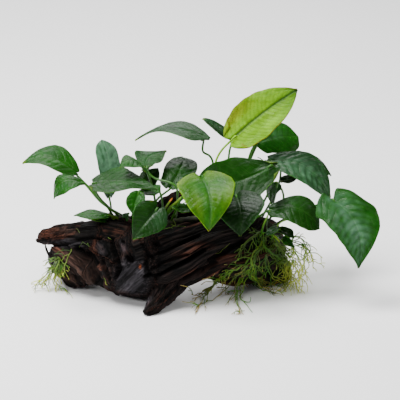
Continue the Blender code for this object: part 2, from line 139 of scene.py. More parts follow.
# The overhanging ledge and a low spur behind, as seen (across, up, away) with half-depth and half-height
LEDGE = (
    ((-163, 60, 42), (5, 4.5)),
    ((-157, 61.5, 41), (9, 7)),
    ((-148, 63.5, 39), (11, 8)),
    ((-136, 65.5, 37), (12, 8)),
    ((-122, 68, 33), (13, 8)),
    ((-114, 69, 31), (10, 6)),
    ((-104, 70, 28), (7, 4)),
)
BACK_SPUR = (
    ((-44, 80, 24), (9, 9)),
    ((-28, 85, 30), (6, 5.5)),
    ((-10, 87, 36), (5, 4.5)),
    ((8, 89, 40), (4, 3)),
)

# Wood that stands proud (+) or is split or worn away (-): places as seen (across, up), half-width and height
WOOD_MARKS = (
    (((-124, 50), (-117, 44), (-110, 35), (-105, 26), (-101, 16)), 4.6, -8.0),
    (((-114, 47), (-107, 42), (-103, 36)), 3.4, -5.0),
    (((-97, 38), (-93, 28), (-91, 20)), 2.6, -4.0),
    (((-88, 59), (-86, 50), (-83, 41), (-81, 30), (-84, 22)), 3.2, -5.0),
    (((-71, 43), (-69, 39)), 4.0, -6.0),
    (((-76, 56), (-73, 47)), 2.4, -3.5),
    (((-83, 57), (-82, 55)), 3.0, 2.5),
    (((-79, 58), (-76, 52), (-73, 46)), 2.4, 3.5),
    (((-100, 20), (-92, 34), (-86, 40)), 3.0, 2.0),
    (((-150, 53), (-136, 55), (-122, 59), (-108, 62), (-98, 60)), 2.8, -4.0),
    (((-105, 48), (-101, 54), (-97, 59)), 2.4, 2.5),
    (((-98, 55), (-96, 49)), 7.0, 2.0),
    (((-148, 44), (-136, 38), (-124, 30), (-112, 20)), 9.0, 2.5),
    (((-120, 28), (-112, 22), (-106, 16)), 3.5, 2.5),
    (((-142, 24), (-128, 22), (-116, 20)), 2.8, -4.5),
    (((-52, 44), (-54, 34), (-50, 22)), 3.0, -4.0),
    (((-60, 62), (-54, 52), (-50, 44)), 2.6, -3.0),
    (((-56, 22), (-38.7, 24.3), (-18.4, 34.4), (5, 49.2)), 2.6, -5.0),
    (((10.4, 38.3), (23.6, 47), (31.4, 52.3), (44, 58)), 3.6, -6.0),
    (((-31, 11), (-12.2, 22.7), (4, 30.5), (15.8, 36.7)), 2.8, -4.5),
    (((-44, 20.4), (-29.3, 29.7), (-14, 38), (-2, 46)), 2.2, -3.5),
    (((-48.8, 29), (-36.3, 36.7), (-23, 41.4), (-12.2, 44.5)), 2.2, -3.5),
    (((-48, 44), (-34, 48), (-18, 56), (0, 64)), 2.4, -3.5),
    (((20, 26), (36, 36), (50, 40)), 2.6, -4.0),
    (((-48, 42), (-46, 41)), 2.6, -4.0),
    (((-44, 56), (-42, 55)), 3.2, -4.0),
    (((-34, 20), (-16, 30), (6, 44), (22, 52)), 2.2, 2.2),
    (((-26, 12), (-6, 24), (14, 32)), 2.0, 2.0),
    (((-7.5, 20.4), (5, 29.7)), 1.4, 2.0),
    (((-19, 84), (-10, 77)), 3.0, -3.0),
)
WORN_FACE = (-68, 21, 19, 19)  # the worn grey face in the middle: place as seen, reach across and up
LUMPY_HUMP = (-94, 38, 16.8, 24)  # the lumpy hump to the left of it
PLATES_END = -42  # how far to the right the plates of the left half reach
PLATES_FADE = 14  # in how many mm they fade into the log's own grain
# Which way the grain runs on the front of the left half: place as seen and direction in degrees
GRAIN_WAYS = (
    (-132, 30, -37), (-100, 30, -62), (-114, 66, 6), (-88, 70, -10), (-91, 50, -68), (-77, 50, 72),
    (-68, 20, 42), (-60, 52, 18),
)
# Patches of another wood colour: place as seen, radius across and up, colour name, strength
WOOD_PATCHES = (
    (-150, 64, 15, 6, "red", 0.7),
    (-134, 67, 12, 4, "pink", 0.5),
    (-132, 32, 21, 14, "pink", 0.9),
    (-112, 22, 9, 8, "pink", 0.8),
    (-136, 55, 24, 4, "grey", 0.6),
    (-97, 50, 5, 8, "grey", 0.3),
    (-76, 52, 4, 6, "grey", 0.4),
    (-68, 20, 16, 20, "grey", 0.9),
    (-105, 50, 3, 8, "red", 0.4),
    (-97, 31, 2.5, 3, "red", 0.4),
    (0, 53, 16, 4, "red", 0.3),
    (-18, 45, 10, 4, "red", 0.25),
    (-6, 36, 18, 5, "brown", 0.7),
    (26, 42, 12, 5, "red", 0.25),
    (-59.8, 32.5, 1.3, 2.4, "orange", 0.8),
    (-30, 20, 18, 6, "brown", 0.6),
    (-50, -6, 9, 7, "grey", 0.7),
)

USUAL_START = 0.74
NO_PAINTED_GLOSS = (0, 0, 1, 1, 0)


def leaf(base, tip, first, second, root=None, *turns, **more):
    """A leaf: base, tip and edges of its blade as seen, where it is rooted and the turns of its petiole."""
    usual = dict(start=USUAL_START, kind="bright", puff=0.3, wave=0.6, quilt=0.32, closing=1.1, pale_tip=0)
    placed = dict(base=base, tip=tip, edges=(first, second), root=root, turns=turns)
    # no painted gloss, the grey-green highlight patch, unless the leaf gives one
    return usual | placed | dict(bloom=NO_PAINTED_GLOSS) | more


# Leaves. As in the part: where along it a blade is broadest, its taper, its fold, its lobes, and its width
# at the base, by side where the sides differ. Only for the look: its kind, its ribs on each side, how puffed
# it is between them, how its edge waves, how uneven it is, how its lobes close, how pale its tip is, a shade
# that is darker below 0 and lighter above, where lighter on a dark leaf mixes in painted sheen, and the
# place, reach across and along, and strength of its painted gloss, a grey-green highlight painted onto the
# blade
LEAVES = {
    "far_left": leaf(
        (-127, 127, 36), (-179, 136, 44), (-145, 155, 60), (-147, 131, 24), ("left", -86), (-97, 96, 32),
        broad=0.40, taper=1.7, fold=0.10, lobe=0.10, first_start=0.84, start=0.62,
        ribs=6, puff=0.35, wave=0.8, pale_tip=0.8, closing=0.7, shade=-0.4, bloom=(-0.5, 0.7, 0.5, 0.3, 0.2)),
    "far_left_low": leaf(
        (-117, 116, -7), (-146, 101, -13), (-139, 125, 7), (-136, 105, -27), ("left", -74), (-98, 96, -5),
        broad=0.45, taper=2.2, fold=-0.16, lobe=0.06, second_start=0.15, start=0.48,
        ribs=6, puff=0.35, shade=-0.4, bloom=(0.5, 0.6, 0.4, 0.3, 0.15)),
    "left_upright": leaf(
        (-92, 106, 42), (-99, 160, 58), (-104, 141, 46), (-80, 133, 52), ("left", -92), (-90, 92, 38),
        broad=0.55, taper=3.4, fold=-0.12, lobe=0.10, start=0.50,
        kind="dark", ribs=5, puff=0.4, quilt=0.7, shade=1.4, bloom=(0.0, 0.6, 1.6, 0.9, 3.2)),
    "left_broad": leaf(
        (-107, 116, 19), (-43, 110, -2), (-86, 133, 38), (-84, 106, -10), ("left", -80), (-100, 100, 24),
        broad=0.36, taper=1.0, fold=0.08, lobe=0.05,
        ribs=9, puff=0.35, shade=-1.0, bloom=(-0.2, 0.45, 1.2, 0.6, 0.06)),
    "left_short": leaf(
        (-60, 108, 14), (-40, 108, 4), (-49, 114, 18), (-47, 104, -2), ("left", -63), (-61, 98, 20),
        broad=0.70, taper=4.0, fold=0.10, lobe=0.04, ribs=4, wave=0.3, shade=-0.3),
    "left_arched": leaf(
        (-54, 129, 24), (-80, 132, 14), (-79, 145, 36), (-76, 134, 8), ("main", -42), (-47, 108, 24),
        broad=0.50, taper=2.2, fold=-0.10, lobe=0.05, start=0.55,
        ribs=5, puff=0.5, wave=0.5, shade=-0.3, bloom=(0.6, 0.6, 0.5, 0.5, 0.15)),
    "left_folded": leaf(
        (-53, 132, 36), (-34, 149, 66), (-70, 143, 56), (-40, 139, 46), ("main", -23),
        (-24, 112, 20), (-46, 121, 30), broad=0.55, taper=1.6, fold=0.12, lobe=0.05, start=0.4,
        ribs=8, puff=0.35, wave=1.8, pale_tip=0.4, shade=-0.8, bloom=(-0.3, 0.6, 1.0, 0.6, 0.25)),
    "left_back": leaf(
        (-52, 113, 34), (-42, 131, 52), (-63, 121, 44), (-42, 120, 44), ("main", -36), (-40, 106, 20),
        broad=0.50, taper=2.4, fold=0.10, lobe=0.04, kind="dark", ribs=5, wave=0.3, shade=-0.8),
    "left_hanging": leaf(
        (-61, 107, -4), (-67, 85, -14), (-74, 98, -10), (-55, 97, -12), ("left", -69), (-66, 92, 4),
        broad=0.45, taper=2.4, fold=0.10, lobe=0.06, ribs=4, wave=0.3, shade=-0.2),
    "front_left": leaf(
        (-43, 90, -14), (-67, 60, -32), (-70, 86, -26), (-28, 80, -24), ("main", -55),
        broad=0.30, taper=1.5, fold=0.14, lobe=0.15, start=0.86,
        kind="dark", ribs=8, puff=0.35, wave=0.8, shade=-0.3, bloom=(0.5, 0.2, 0.5, 0.3, 0.2)),
    "middle_round": leaf(
        (-30, 112, 40), (-17, 143, 98), (-36, 132, 60), (-2, 132, 64), ("main", -47), (-44, 98, 16),
        broad=0.42, taper=1.9, fold=-0.08, lobe=0.06,
        ribs=6, wave=0.5, quilt=0.6, shade=-0.9, bloom=(0.35, 0.5, 0.3, 0.45, 0.04)),
    "front_lime": leaf(
        (1, 122, -10), (9, 68, -50), (-22, 111, -28), (34, 113, -30), ("main", -30), (-17, 103, 2),
        broad=0.22, taper=2.0, fold=0.12, lobe=0.09, start=0.86,
        kind="lime", ribs=9, wave=1.0, shade=0.0, bloom=(-0.35, 0.45, 0.25, 0.3, 0.3)),
    "top_arching": leaf(
        (2, 161, 56), (-66, 160, 70), (-12, 161.5, 42), (-12, 176.5, 84), ("main", 16),
        (13, 137, 50), (3, 148, 52),
        broad=0.20, taper=1.15, fold=0.02, lobe=0.12, first_start=0.55, start=0.85,
        kind="dark", ribs=9, puff=0.4, pale_tip=0.6, closing=0.5, shade=-0.2, bloom=(0, 0.6, 1.2, 0.6, 0.3)),
    "top_edge_on": leaf(
        (32, 161, 68), (3, 182, 82), (16, 168.5, 64), (19, 178, 86), ("main", 28), (29, 141, 56),
        broad=0.45, taper=2.0, fold=0.10, lobe=0.06, start=0.55,
        kind="dark", ribs=5, puff=0.4, wave=0.4, pale_tip=0.5, shade=-0.5, bloom=(0.2, 0.8, 0.6, 0.4, 0.35)),
    "top_yellow": leaf(
        (33, 161, 46), (98, 210, 62), (45, 201, 68), (68, 164, 44), ("main", 8), (16, 138, 42),
        broad=0.36, taper=2.6, fold=0.10, lobe=0.08, start=0.80,
        kind="yellow", ribs=15, puff=0.35, wave=1.6, quilt=0.5, shade=0.0),
    "top_right": leaf(
        (58, 157, 72), (100, 164, 94), (86, 179, 104), (83, 147, 68), ("main", 38), (49, 139, 66),
        broad=0.58, taper=4.0, fold=-0.08, lobe=0.05,
        ribs=6, puff=0.4, shade=-0.2, bloom=(-0.3, 0.3, 0.5, 0.35, 0.35)),
    "middle_dark": leaf(
        (72, 133, 25), (-6, 110, 1), (31, 142, 39), (50, 97, 9), ("main", 50), (64, 112, 32),
        broad=0.46, taper=2.8, fold=0.08, lobe=0.08, first_start=0.15, start=0.56,
        ribs=9, puff=0.25, shade=-1.0, bloom=(0.4, 0.3, 0.5, 0.3, 0.0)),
    "front_right": leaf(
        (36, 103, -2), (40, 63, -32), (14, 88, -20), (64, 99, -18), ("main", 23), (33, 88, 2),
        broad=0.30, taper=1.7, fold=0.10, lobe=0.12, start=0.84,
        kind="dark", ribs=8, puff=0.35, wave=0.9, shade=-1.0, bloom=(-0.4, 0.5, 0.35, 0.35, 0.0)),
    "right_grey": leaf(
        (70, 139, 50), (131, 101, 32), (102, 152, 68), (92, 123, 28), ("main", 56), (71, 112, 56),
        broad=0.44, taper=2.6, fold=-0.06, lobe=0.06, second_start=0.38, start=0.62,
        kind="dark", ribs=8, puff=0.8, wave=0.7, quilt=0.9, shade=0.5, bloom=(0.3, 0.4, 0.9, 0.6, 0.7)),
    "right_rim": leaf(
        (85, 143, 84), (134, 124, 80), (110, 148, 102), (106, 134, 64), ("main", 62), (80, 114, 70),
        broad=0.45, taper=2.2, fold=-0.06, lobe=0.08, kind="dark", ribs=6, puff=0.5, wave=0.5, shade=0.0),
    "right_low": leaf(
        (70, 89, 8), (120, 71, 0), (98, 105, 20), (94, 76, -12), ("main", 44), (57, 82, 18),
        broad=0.55, taper=3.2, fold=-0.06, lobe=0.05, start=0.52,
        ribs=6, puff=0.4, shade=-1.1, bloom=(-0.4, 0.35, 0.45, 0.4, 0.05)),
    "far_right": leaf(
        (133, 99, 0), (158, 31, -32), (126, 77, -22), (180, 79, -12), ("main", 73),
        (99, 87, 28), (121, 95, 18), broad=0.30, taper=1.8, fold=0.08, lobe=0.14, start=0.97,
        ribs=9, puff=0.8, wave=0.9, quilt=0.6, shade=-0.3, bloom=(-0.2, 0.5, 0.6, 0.6, 1.1)),
    "right_edge_on": leaf(
        (79, 115, 12), (72, 95, -2), (65, 104, -4), (77, 105, 16), ("main", 68), (84, 100, 28),
        broad=0.45, taper=2.2, fold=0.10, lobe=0.04, kind="dark", ribs=4, wave=0.3, shade=0.2),
    "right_sprout": leaf(
        (79, 70, 4), (94, 61, -2), (90, 71, 10), (86, 63, -4), ("main", 79),
        broad=0.50, taper=2.2, fold=0.08, lobe=0.04, kind="dark", ribs=3, puff=0.2, wave=0.2, shade=0.0),
    "left_small": leaf(
        (-92, 84, 22), (-127, 84, 20), (-106, 89, 32), (-104, 80, 8), ("left", -98),
        broad=0.42, taper=2.0, fold=-0.08, lobe=0.05, ribs=5, wave=0.5, shade=0.0),
}
# Small leaves of new growth, shown only here
SPROUTS = {
    "sprout_left": leaf(
        (-92, 80, 26), (-112, 80, 18), (-102, 84.5, 28), (-101, 77, 12),
        broad=0.45, taper=2.2, fold=-0.08, lobe=0.03, ribs=4, puff=0.2, wave=0.3, shade=-0.2),
    "sprout_near_left": leaf(
        (-84, 76, 24), (-91, 85, 22), (-91, 79, 26), (-84, 83, 18),
        broad=0.5, taper=2.2, fold=0.1, lobe=0.02, kind="dark", ribs=3, puff=0.2, wave=0.2, shade=0.5),
    "sprout_hump": leaf(
        (-78, 77, 20), (-72, 86, 16), (-79, 83, 20), (-72, 80, 12),
        broad=0.5, taper=2.2, fold=0.1, lobe=0.02, kind="dark", ribs=3, puff=0.2, wave=0.2, shade=0.7),
    "sprout_middle": leaf(
        (-9, 91, 12), (-28, 92, 4), (-19, 96, 14), (-19, 87, 0),
        broad=0.45, taper=2.2, fold=0.08, lobe=0.03, kind="dark", ribs=4, wave=0.3, shade=-0.3),
    "sprout_right": leaf(
        (66, 66, 0), (80, 71, -4), (73, 72.5, 4), (73, 65, -8),
        broad=0.5, taper=2.4, fold=0.08, lobe=0.03, kind="dark", ribs=4, puff=0.2, wave=0.2, shade=0.4),
    "sprout_hanging": leaf(
        (83, 61, 2), (95, 52, -2), (92, 59, 5), (86, 54, -5),
        broad=0.45, taper=2.0, fold=0.12, lobe=0.04, ribs=4, wave=0.4, shade=-0.3),
    "sprout_behind": leaf(
        (82, 119, 56), (98, 122, 60), (90, 125, 62), (90, 116, 52),
        broad=0.5, taper=2.2, fold=0.08, lobe=0.03, kind="dark", ribs=4, wave=0.3, shade=-0.6),
}
# Thin stalks of new growth as seen: points, thickest radius, colours of the start and the end
SHOOTS = (
    (((-36, 84, 14), (-35, 90, 12), (-32, 95, 11), (-29, 99, 10)), 1.3, "leaf_lime", "leaf_pale"),
    (((-30.2, 97.5, 10), (-28.6, 99.6, 10), (-27.6, 101, 10)), 0.8, "leaf_orange", "leaf_orange"),
    (((-34, 84, 16), (-31, 90, 12), (-24, 96, 8), (-17, 103, 2)), 1.9, "leaf_lime", "leaf_pale"),
    (((-33, 84, 16), (-29, 88, 12), (-23, 93, 8), (-13, 97, 4)), 1.0, "stem_green", "stem_green"),
    (((58.5, 158, 72), (55, 151, 69), (51, 140, 66)), 2.3, "stem_green", "stem_green"),
    (((-94, 74, 30), (-90, 79, 28), (-92, 80, 26)), 0.6, "stem_green", "stem_green"),
    (((-82, 72, 24), (-84, 76, 24)), 0.6, "stem_green", "stem_green"),
    (((-79, 72, 22), (-78, 77, 20)), 0.6, "stem_green", "stem_green"),
    (((2, 84, 18), (-4, 90, 14), (-9, 91, 12)), 0.7, "stem_brown", "stem_green"),
    (((62, 66, 12), (64, 74, 6), (70, 88, 4)), 1.2, "stem_green", "leaf_yellow"),
    (((68, 62, 14), (67, 72, 6), (68, 84, 6)), 1.0, "stem_brown", "leaf_lime"),
    (((72, 60, 12), (75, 68, 4), (80, 76, 0), (87, 79, -2)), 1.0, "stem_green", "leaf_yellow"),
    (((74, 64, 10), (76, 62, 2), (80, 57, -1)), 1.1, "leaf_yellow", "leaf_pale"),
    (((60, 62, 14), (63, 66, 4), (66, 66, 0)), 0.7, "stem_green", "stem_green"),
    (((76, 58, 14), (79, 63, 6), (82, 63, 2)), 0.7, "stem_green", "stem_green"),
    (((58, 142, 40), (62, 140, 38), (68, 135, 34)), 0.6, "leaf_bloom", "stem_brown"),
    (((78, 108, 52), (80, 115, 54), (82, 119, 56)), 0.7, "stem_green", "stem_green"),
    (((68, 62, 50), (72, 84, 54), (78, 108, 52)), 0.8, "stem_brown", "stem_green"),
)
# Splinters of the wood as seen: points and radius
SPLINTERS = (
    (((-160, 58, 40), (-163, 57, 38), (-165, 58, 38), (-163, 60, 40)), 1.7),
    (((-157, 55, 38), (-156, 50, 36), (-153, 43, 34), (-148, 41.5, 32), (-142, 43, 30)), 1.1),
    (((-34, -2, -30), (-27, 2.5, -27), (-20.5, 4.8, -24)), 2.0),
    (((-46, -10, -44), (-52, -12, -47), (-56, -13.5, -48)), 1.6),
    (((-87, 8, 2), (-84, 5, 0), (-81, 3.5, 0)), 2.0),
)
BLADE_ROWS, BLADE_COLUMNS = 66, 44
STEM_RADIUS_LOW, STEM_RADIUS_HIGH, STEM_RINGS = 1.2, 1.05, 36
RHIZOME_RADIUS = 4.2
TUBE_FLOOR = 0.3  # how near to the floor a thin tube comes

# Roots of the tangle and the tuft: line as seen (across, up), copies, how far they stray, colour of the tips
TANGLE = (
    (((60, 67), (55, 62), (57, 50), (52, 42), (39, 31), (27, 25),
      (18, 19), (9, 9), (3, -1), (-2, -9), (-3, -15)), 2, 1.5, "tan"),
    (((39, 31), (27, 25), (18, 18), (4, 6), (-8, 2)), 2, 1.5, "tan"),
    (((27, 25), (18, 19), (10, 16), (0, 15)), 1, 0, "tan"),
    (((24, 22), (14, 12), (6, 3), (-6, -2)), 2, 1.5, "tan"),
    (((52, 40), (48, 26), (38, 14), (35, 5), (32, -3)), 3, 2.0, "tan"),
    (((48, 32), (40, 24), (28, 13), (17, 1), (11, -4)), 2, 1.5, "tan"),
    (((44, 24), (38, 12), (39, -5), (41, -10), (38, -15)), 2, 1.5, "tan"),
    (((46, 20), (41, 3), (46, -3), (51, -3), (51, 1)), 1, 0, "green"),
    (((60, 66), (52, 60), (43, 53), (40, 47), (39, 39)), 3, 3.0, "green"),
    (((66, 66), (63, 54), (57, 47), (55, 34), (55, 21)), 4, 4.0, "green"),
    (((62, 64), (66, 52), (73, 43), (80, 39), (87, 32), (91, 24), (94, 15), (97, 5)), 6, 5.0, "yellow"),
    (((70, 66), (75, 57), (85, 48), (94, 41), (99, 30), (101, 19), (99, 9)), 6, 5.0, "yellow"),
    (((78, 62), (83, 50), (92, 40), (97, 26), (92, 12)), 4, 5.0, "yellow"),
    (((74, 60), (80, 46), (88, 36), (90, 24), (88, 14)), 3, 5.0, "yellow"),
    (((86, 60), (93, 58), (99, 60), (105, 56), (108, 50), (108, 42), (106, 30), (101, 19)), 3, 2.5, "yellow"),
    (((96, 56), (107, 51), (113, 43), (115, 38)), 3, 2.5, "yellow"),
    (((103, 44), (109, 37), (118, 36), (127, 36)), 1, 0, "yellow"),
    (((94, 50), (99, 44), (104, 34), (102, 24)), 3, 4.0, "yellow"),
    (((86, 39), (73, 35), (65, 21)), 2, 2.0, "green"),
    (((57, 33), (55, 21), (62, 11), (72, 9), (84, 10)), 3, 2.0, "tan"),
    (((48, 26), (54, 17), (63, 14), (73, 12), (82, 15)), 2, 2.0, "tan"),
    (((66, 44), (70, 30), (78, 20), (88, 18)), 2, 3.0, "yellow"),
)
TUFT = (
    (((-129, 50), (-134, 38), (-137, 26), (-141, 18)), 1, 0, "green"),
    (((-144, 41), (-138, 31), (-139, 23)), 2, 1.5, "yellow"),
    (((-146, 45), (-138, 43)), 1, 0, "green"),
    (((-144, 40), (-150, 32), (-156, 24), (-163, 18), (-170, 15)), 4, 2.5, "yellow"),
    (((-144, 38), (-149, 29), (-153, 21), (-158, 13)), 6, 3.0, "yellow"),
    (((-143, 38), (-146, 28), (-147, 18), (-144, 9)), 6, 3.0, "yellow"),
    (((-141, 36), (-142, 26), (-145, 16)), 4, 3.0, "yellow"),
    (((-144, 42), (-152, 37), (-158, 33)), 2, 2.5, "yellow"),
)
LOWEST_ROOT = -14.8  # how low a root tip may show, which is how far it lies out on the floor
ROOT_STEP = 2.2  # the length of each straight bit of a root
BRANCH_STEPS = 4
IN_FRONT = -150  # a depth that is in front of everything
# Thin dull roots that lie on the wood, in the same way
STRAYS = (
    (((-122, 52), (-119, 56), (-115, 56), (-110, 52)), 1, 0, "yellow"),
    (((-115, 56), (-112, 53)), 1, 0, "tan"),
    (((-30, 70), (-26, 76), (-28, 84)), 1, 0, "green"),
    (((-52, 75), (-40, 70), (-28, 70)), 1, 0, "green"),
    (((-123, 66), (-125, 70)), 1, 0, "tan"),
    (((-96, 21), (-93, 16), (-91, 13)), 1, 0, "yellow"),
    (((-92, 63), (-89, 59)), 1, 0, "tan"),
    (((-37, 77), (-26, 73), (-15, 74)), 1, 0, "tan"),
    (((30, 56), (22, 48), (16, 44)), 1, 0, "tan"),
)


# Settings that a user would change

def linear(code):
    """An sRGB hex colour as linear values."""
    parts = [int(code[place:place + 2], 16) / 255 for place in (1, 3, 5)]
    return tuple(part / 12.92 if part <= 0.04045 else ((part + 0.055) / 1.055) ** 2.4 for part in parts)


def colour(label, code):
    """A colour setting with its default."""
    return FloatVectorProperty(name=label, description=f"Colour: {label.lower()}", subtype="COLOR", size=3,
                               min=0, max=1, default=linear(code))


def millimetres(label, description, default, low, high):
    """A size setting with its default."""
    return FloatProperty(name=label, description=description + " in mm", default=default, min=low, max=high)


class AnubiasSizes(bpy.types.PropertyGroup):
    """Sizes in millimetres."""
    blade_thickness: millimetres("Blade thickness", "Thickness of a leaf blade", 0.6, 0.2, 2)
    puff: millimetres("Puff", "How far blades bulge between their ribs", 0.9, 0, 3)
    grain: millimetres("Grain relief", "Height of the wood's ridges", 1.0, 0, 4)
    root_radius: millimetres("Root radius", "Radius of a fine root", 0.52, 0.2, 2)
    wood_sides: IntProperty(name="Wood sides", description="Points round each stretch of the log",
                            default=330, min=20, max=400)


class AnubiasColours(bpy.types.PropertyGroup):
    """Colours."""
    leaf_dark: colour("Mature leaf", "#0f3107")
    leaf_deep: colour("Shaded leaf", "#071b05")
    # painted sheen: the grey-green of light reflected off a dark blade, used as a colour
    leaf_painted_sheen: colour("Grey-green leaf", "#1f4226")
    leaf_bright: colour("Bright leaf", "#165204")
    leaf_lime: colour("Young leaf", "#1c4d02")
    leaf_pale: colour("Pale young margin", "#768d21")
    leaf_yellow: colour("New leaf", "#6c9a08")
    # painted gloss: a grey-green highlight painted onto the blades as a colour
    leaf_bloom: colour("Waxy bloom", "#42654a")
    leaf_orange: colour("Tip of a new shoot", "#a8641c")
    leaf_brown: colour("Browned edge", "#704414")
    wood_black: colour("Dark wood", "#060504")
    wood_brown: colour("Brown wood", "#0e0908")
    wood_red: colour("Red-brown wood", "#2e1810")
    wood_pink: colour("Broken wood", "#2b1e19")
    wood_grey: colour("Worn grey wood", "#242225")
    wood_orange: colour("Fresh wood", "#6e3318")
    stem_green: colour("Petiole", "#28560f")
    stem_brown: colour("Petiole base", "#22260f")
    rhizome_green: colour("Rhizome", "#090b05")
    root_green: colour("Root", "#3f7a1c")
    root_olive: colour("Old root", "#6f8428")
    root_yellow: colour("Young root", "#b2bb24")
    root_tan: colour("Dry root", "#a08a48")
    root_tip: colour("Root tip", "#c4c97a")


def sizes():
    """The size settings."""
    return bpy.context.scene.anubias_sizes


def named_colour(name):
    """A colour setting as a vector."""
    return Vector(getattr(bpy.context.scene.anubias_colours, name))


def named_colours(family, *names):
    """Colours of one family by their short names."""
    return {name: named_colour(f"{family}_{name}") for name in names}


# Shape tools

def clamp(value):
    """A value kept from 0 to 1."""
    return min(max(value, 0), 1)


def blend(first, second, share):
    """A value between two, with the share kept from 0 to 1."""
    share = clamp(share)
    return first * (1 - share) + second * share


def bell(distance, width):
    """1 in the middle, and falling softly to 0 past this width."""
    return math.exp(-(distance / width) ** 2)


def close_to(area, across, up):
    """1 at the place of an area, and falling softly to 0 past its reach across and up."""
    x, y, wide, high = area
    return bell(math.hypot((across - x) / wide, (up - y) / high), 1)


def past(share, limit):
    """How far a share is past a limit, as a share of what lies beyond it."""
    return max(share - limit, 0) / (1 - limit)


def path_length(points):
    """Length of a line of points."""
    return sum((Vector(second) - Vector(first)).length for first, second in zip(points, points[1:]))


def along(values, share):
    """A smooth value a given share of the way along a list of vectors (Catmull-Rom)."""
    place = share * (len(values) - 1)
    first = min(int(place), len(values) - 2)
    rest = place - first
    before, start, end, after = (
        Vector(values[min(max(first + step, 0), len(values) - 1)]) for step in (-1, 0, 1, 2)
    )
    return 0.5 * (
        2 * start
        + (end - before) * rest
        + (2 * before - 5 * start + 4 * end - after) * rest ** 2
        + (3 * start - before - 3 * end + after) * rest ** 3
    )


def frame_at(points, share):
    """The middle of a path with its sideways, upward and forward directions there."""
    step = 0.01
    forward = (along(points, min(share + step, 1)) - along(points, max(share - step, 0))).normalized()
    upright = Vector((0, 0, 1)) if abs(forward.z) < 0.93 else Vector((0, 1, 0))
    side = forward.cross(upright).normalized()
    return along(points, share), side, side.cross(forward), forward


def add_tube(mesh, sides, rings, place):
    """Adds a closed tube: a grid rolled up by place(ring, angle), with both ends filled. Gives its points."""
    made = bmesh.ops.create_grid(mesh, x_segments=rings, y_segments=sides, size=0.5)["verts"]
    for vert in made:
        ring = round((vert.co.x + 0.5) * rings)
        vert.co = place(ring, (vert.co.y + 0.5) * math.tau - math.pi / 2)
    edges = {edge for vert in made for edge in vert.link_edges}
    bmesh.ops.remove_doubles(mesh, verts=made, dist=0.0005)
    made = [vert for vert in made if vert.is_valid]
    open_edges = [edge for edge in edges if edge.is_valid and edge.is_boundary]
    filled = bmesh.ops.holes_fill(mesh, edges=open_edges, sides=0)["faces"]
    bmesh.ops.poke(mesh, faces=filled)
    return made


def add_thin_tube(mesh, points, sides, rings, reach):
    """Adds a closed tube round a freely bending path, with reach(share, angle) as its radius."""
    frames = []
    side = frame_at(points, 0)[1]
    for ring in range(rings + 1):
        middle, _, _, forward = frame_at(points, ring / rings)
        side = (side - forward * side.dot(forward)).normalized()
        frames.append((middle, side, side.cross(forward)))

    def place(ring, angle):
        middle, side, upward = frames[ring]
        spot = middle + (side * math.cos(angle) + upward * math.sin(angle)) * reach(ring / rings, angle)
        spot.z = max(spot.z, TUBE_FLOOR)
        return spot

    return add_tube(mesh, sides, rings, place)


def new_tint(mesh):
    """A layer for the colour of each point."""
    return mesh.verts.layers.float_color.new("tint")


def joined(first, other):
    """Puts a second bmesh into the first."""
    carrier = bpy.data.meshes.new("carrier")
    other.to_mesh(carrier)
    other.free()
    first.from_mesh(carrier)
    bpy.data.meshes.remove(carrier)
    return first


def finished(name, mesh, material, slot, *nodes):
    """Turns a bmesh in millimetres into a piece that rides on the body and stands for its CAD nodes."""
    bmesh.ops.recalc_face_normals(mesh, faces=mesh.faces)
    for vert in mesh.verts:
        vert.co = (vert.co + SHIFT) * MM
    data = bpy.data.meshes.new(name)
    mesh.to_mesh(data)
    mesh.free()
    data.materials.append(material)
    data.shade_smooth()
    piece = bpy.data.objects.new(name, data)
    bpy.context.collection.objects.link(piece)
    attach(piece, "root")
    if nodes:
        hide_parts(*nodes)


# Materials

def add(tree, kind, inputs=None, **settings):
    """Adds a node with its settings; inputs maps an input to a value or to another node's output."""
    node = tree.nodes.new("ShaderNode" + kind)
    for key, value in settings.items():
        setattr(node, key, value)
    for key, value in (inputs or {}).items():
        if isinstance(value, bpy.types.NodeSocket):
            tree.links.new(value, node.inputs[key])
        else:
            node.inputs[key].default_value = value
    return node


def new_material(name, roughness, ior):
    """A material whose plain numbers sit on the shader itself. Gives its tree and shader too."""
    made = bpy.data.materials.new(name)
    made.use_nodes = True
    shader = made.node_tree.nodes["Principled BSDF"]
    shader.inputs["Roughness"].default_value = roughness
    shader.inputs["IOR"].default_value = ior
    return made, made.node_tree, shader


def attribute(tree, name, output="Fac"):
    """What the points of a piece hold under a name."""
    return add(tree, "Attribute", attribute_name=name).outputs[output]


def noisy(tree, place, scale, detail=3.0, roughness=0.5):
    """Soft noise whose scale is per metre."""
    inputs = {"Vector": place, "Scale": scale, "Detail": detail, "Roughness": roughness}
    return add(tree, "TexNoise", inputs).outputs["Fac"]


def ranged(tree, value, start, end, low, high):
    """A value spread from one range onto another."""
    inputs = {"Value": value, "From Min": start, "From Max": end, "To Min": low, "To Max": high}
    return add(tree, "MapRange", inputs).outputs[0]


def worked(tree, operation, *values):
    """The outcome of a sum on plain values or outputs."""
    return add(tree, "Math", dict(enumerate(values)), operation=operation).outputs[0]


def scaled(tree, tint, amount):
    """A colour made lighter or darker by an amount."""
    return add(tree, "VectorMath", {0: tint, "Scale": amount}, operation="SCALE").outputs[0]


def coloured(tree, shader, tint):
    """Lets the shader take its colour from an output."""
    tree.links.new(tint, shader.inputs["Base Color"])


def raised(tree, shader, height, strength, distance, **settings):
    """Lets a pattern raise the surface by up to a distance in metres."""
    bump = add(tree, "Bump", {"Strength": strength, "Distance": distance, "Height": height}, **settings)
    tree.links.new(bump.outputs[0], shader.inputs["Normal"])


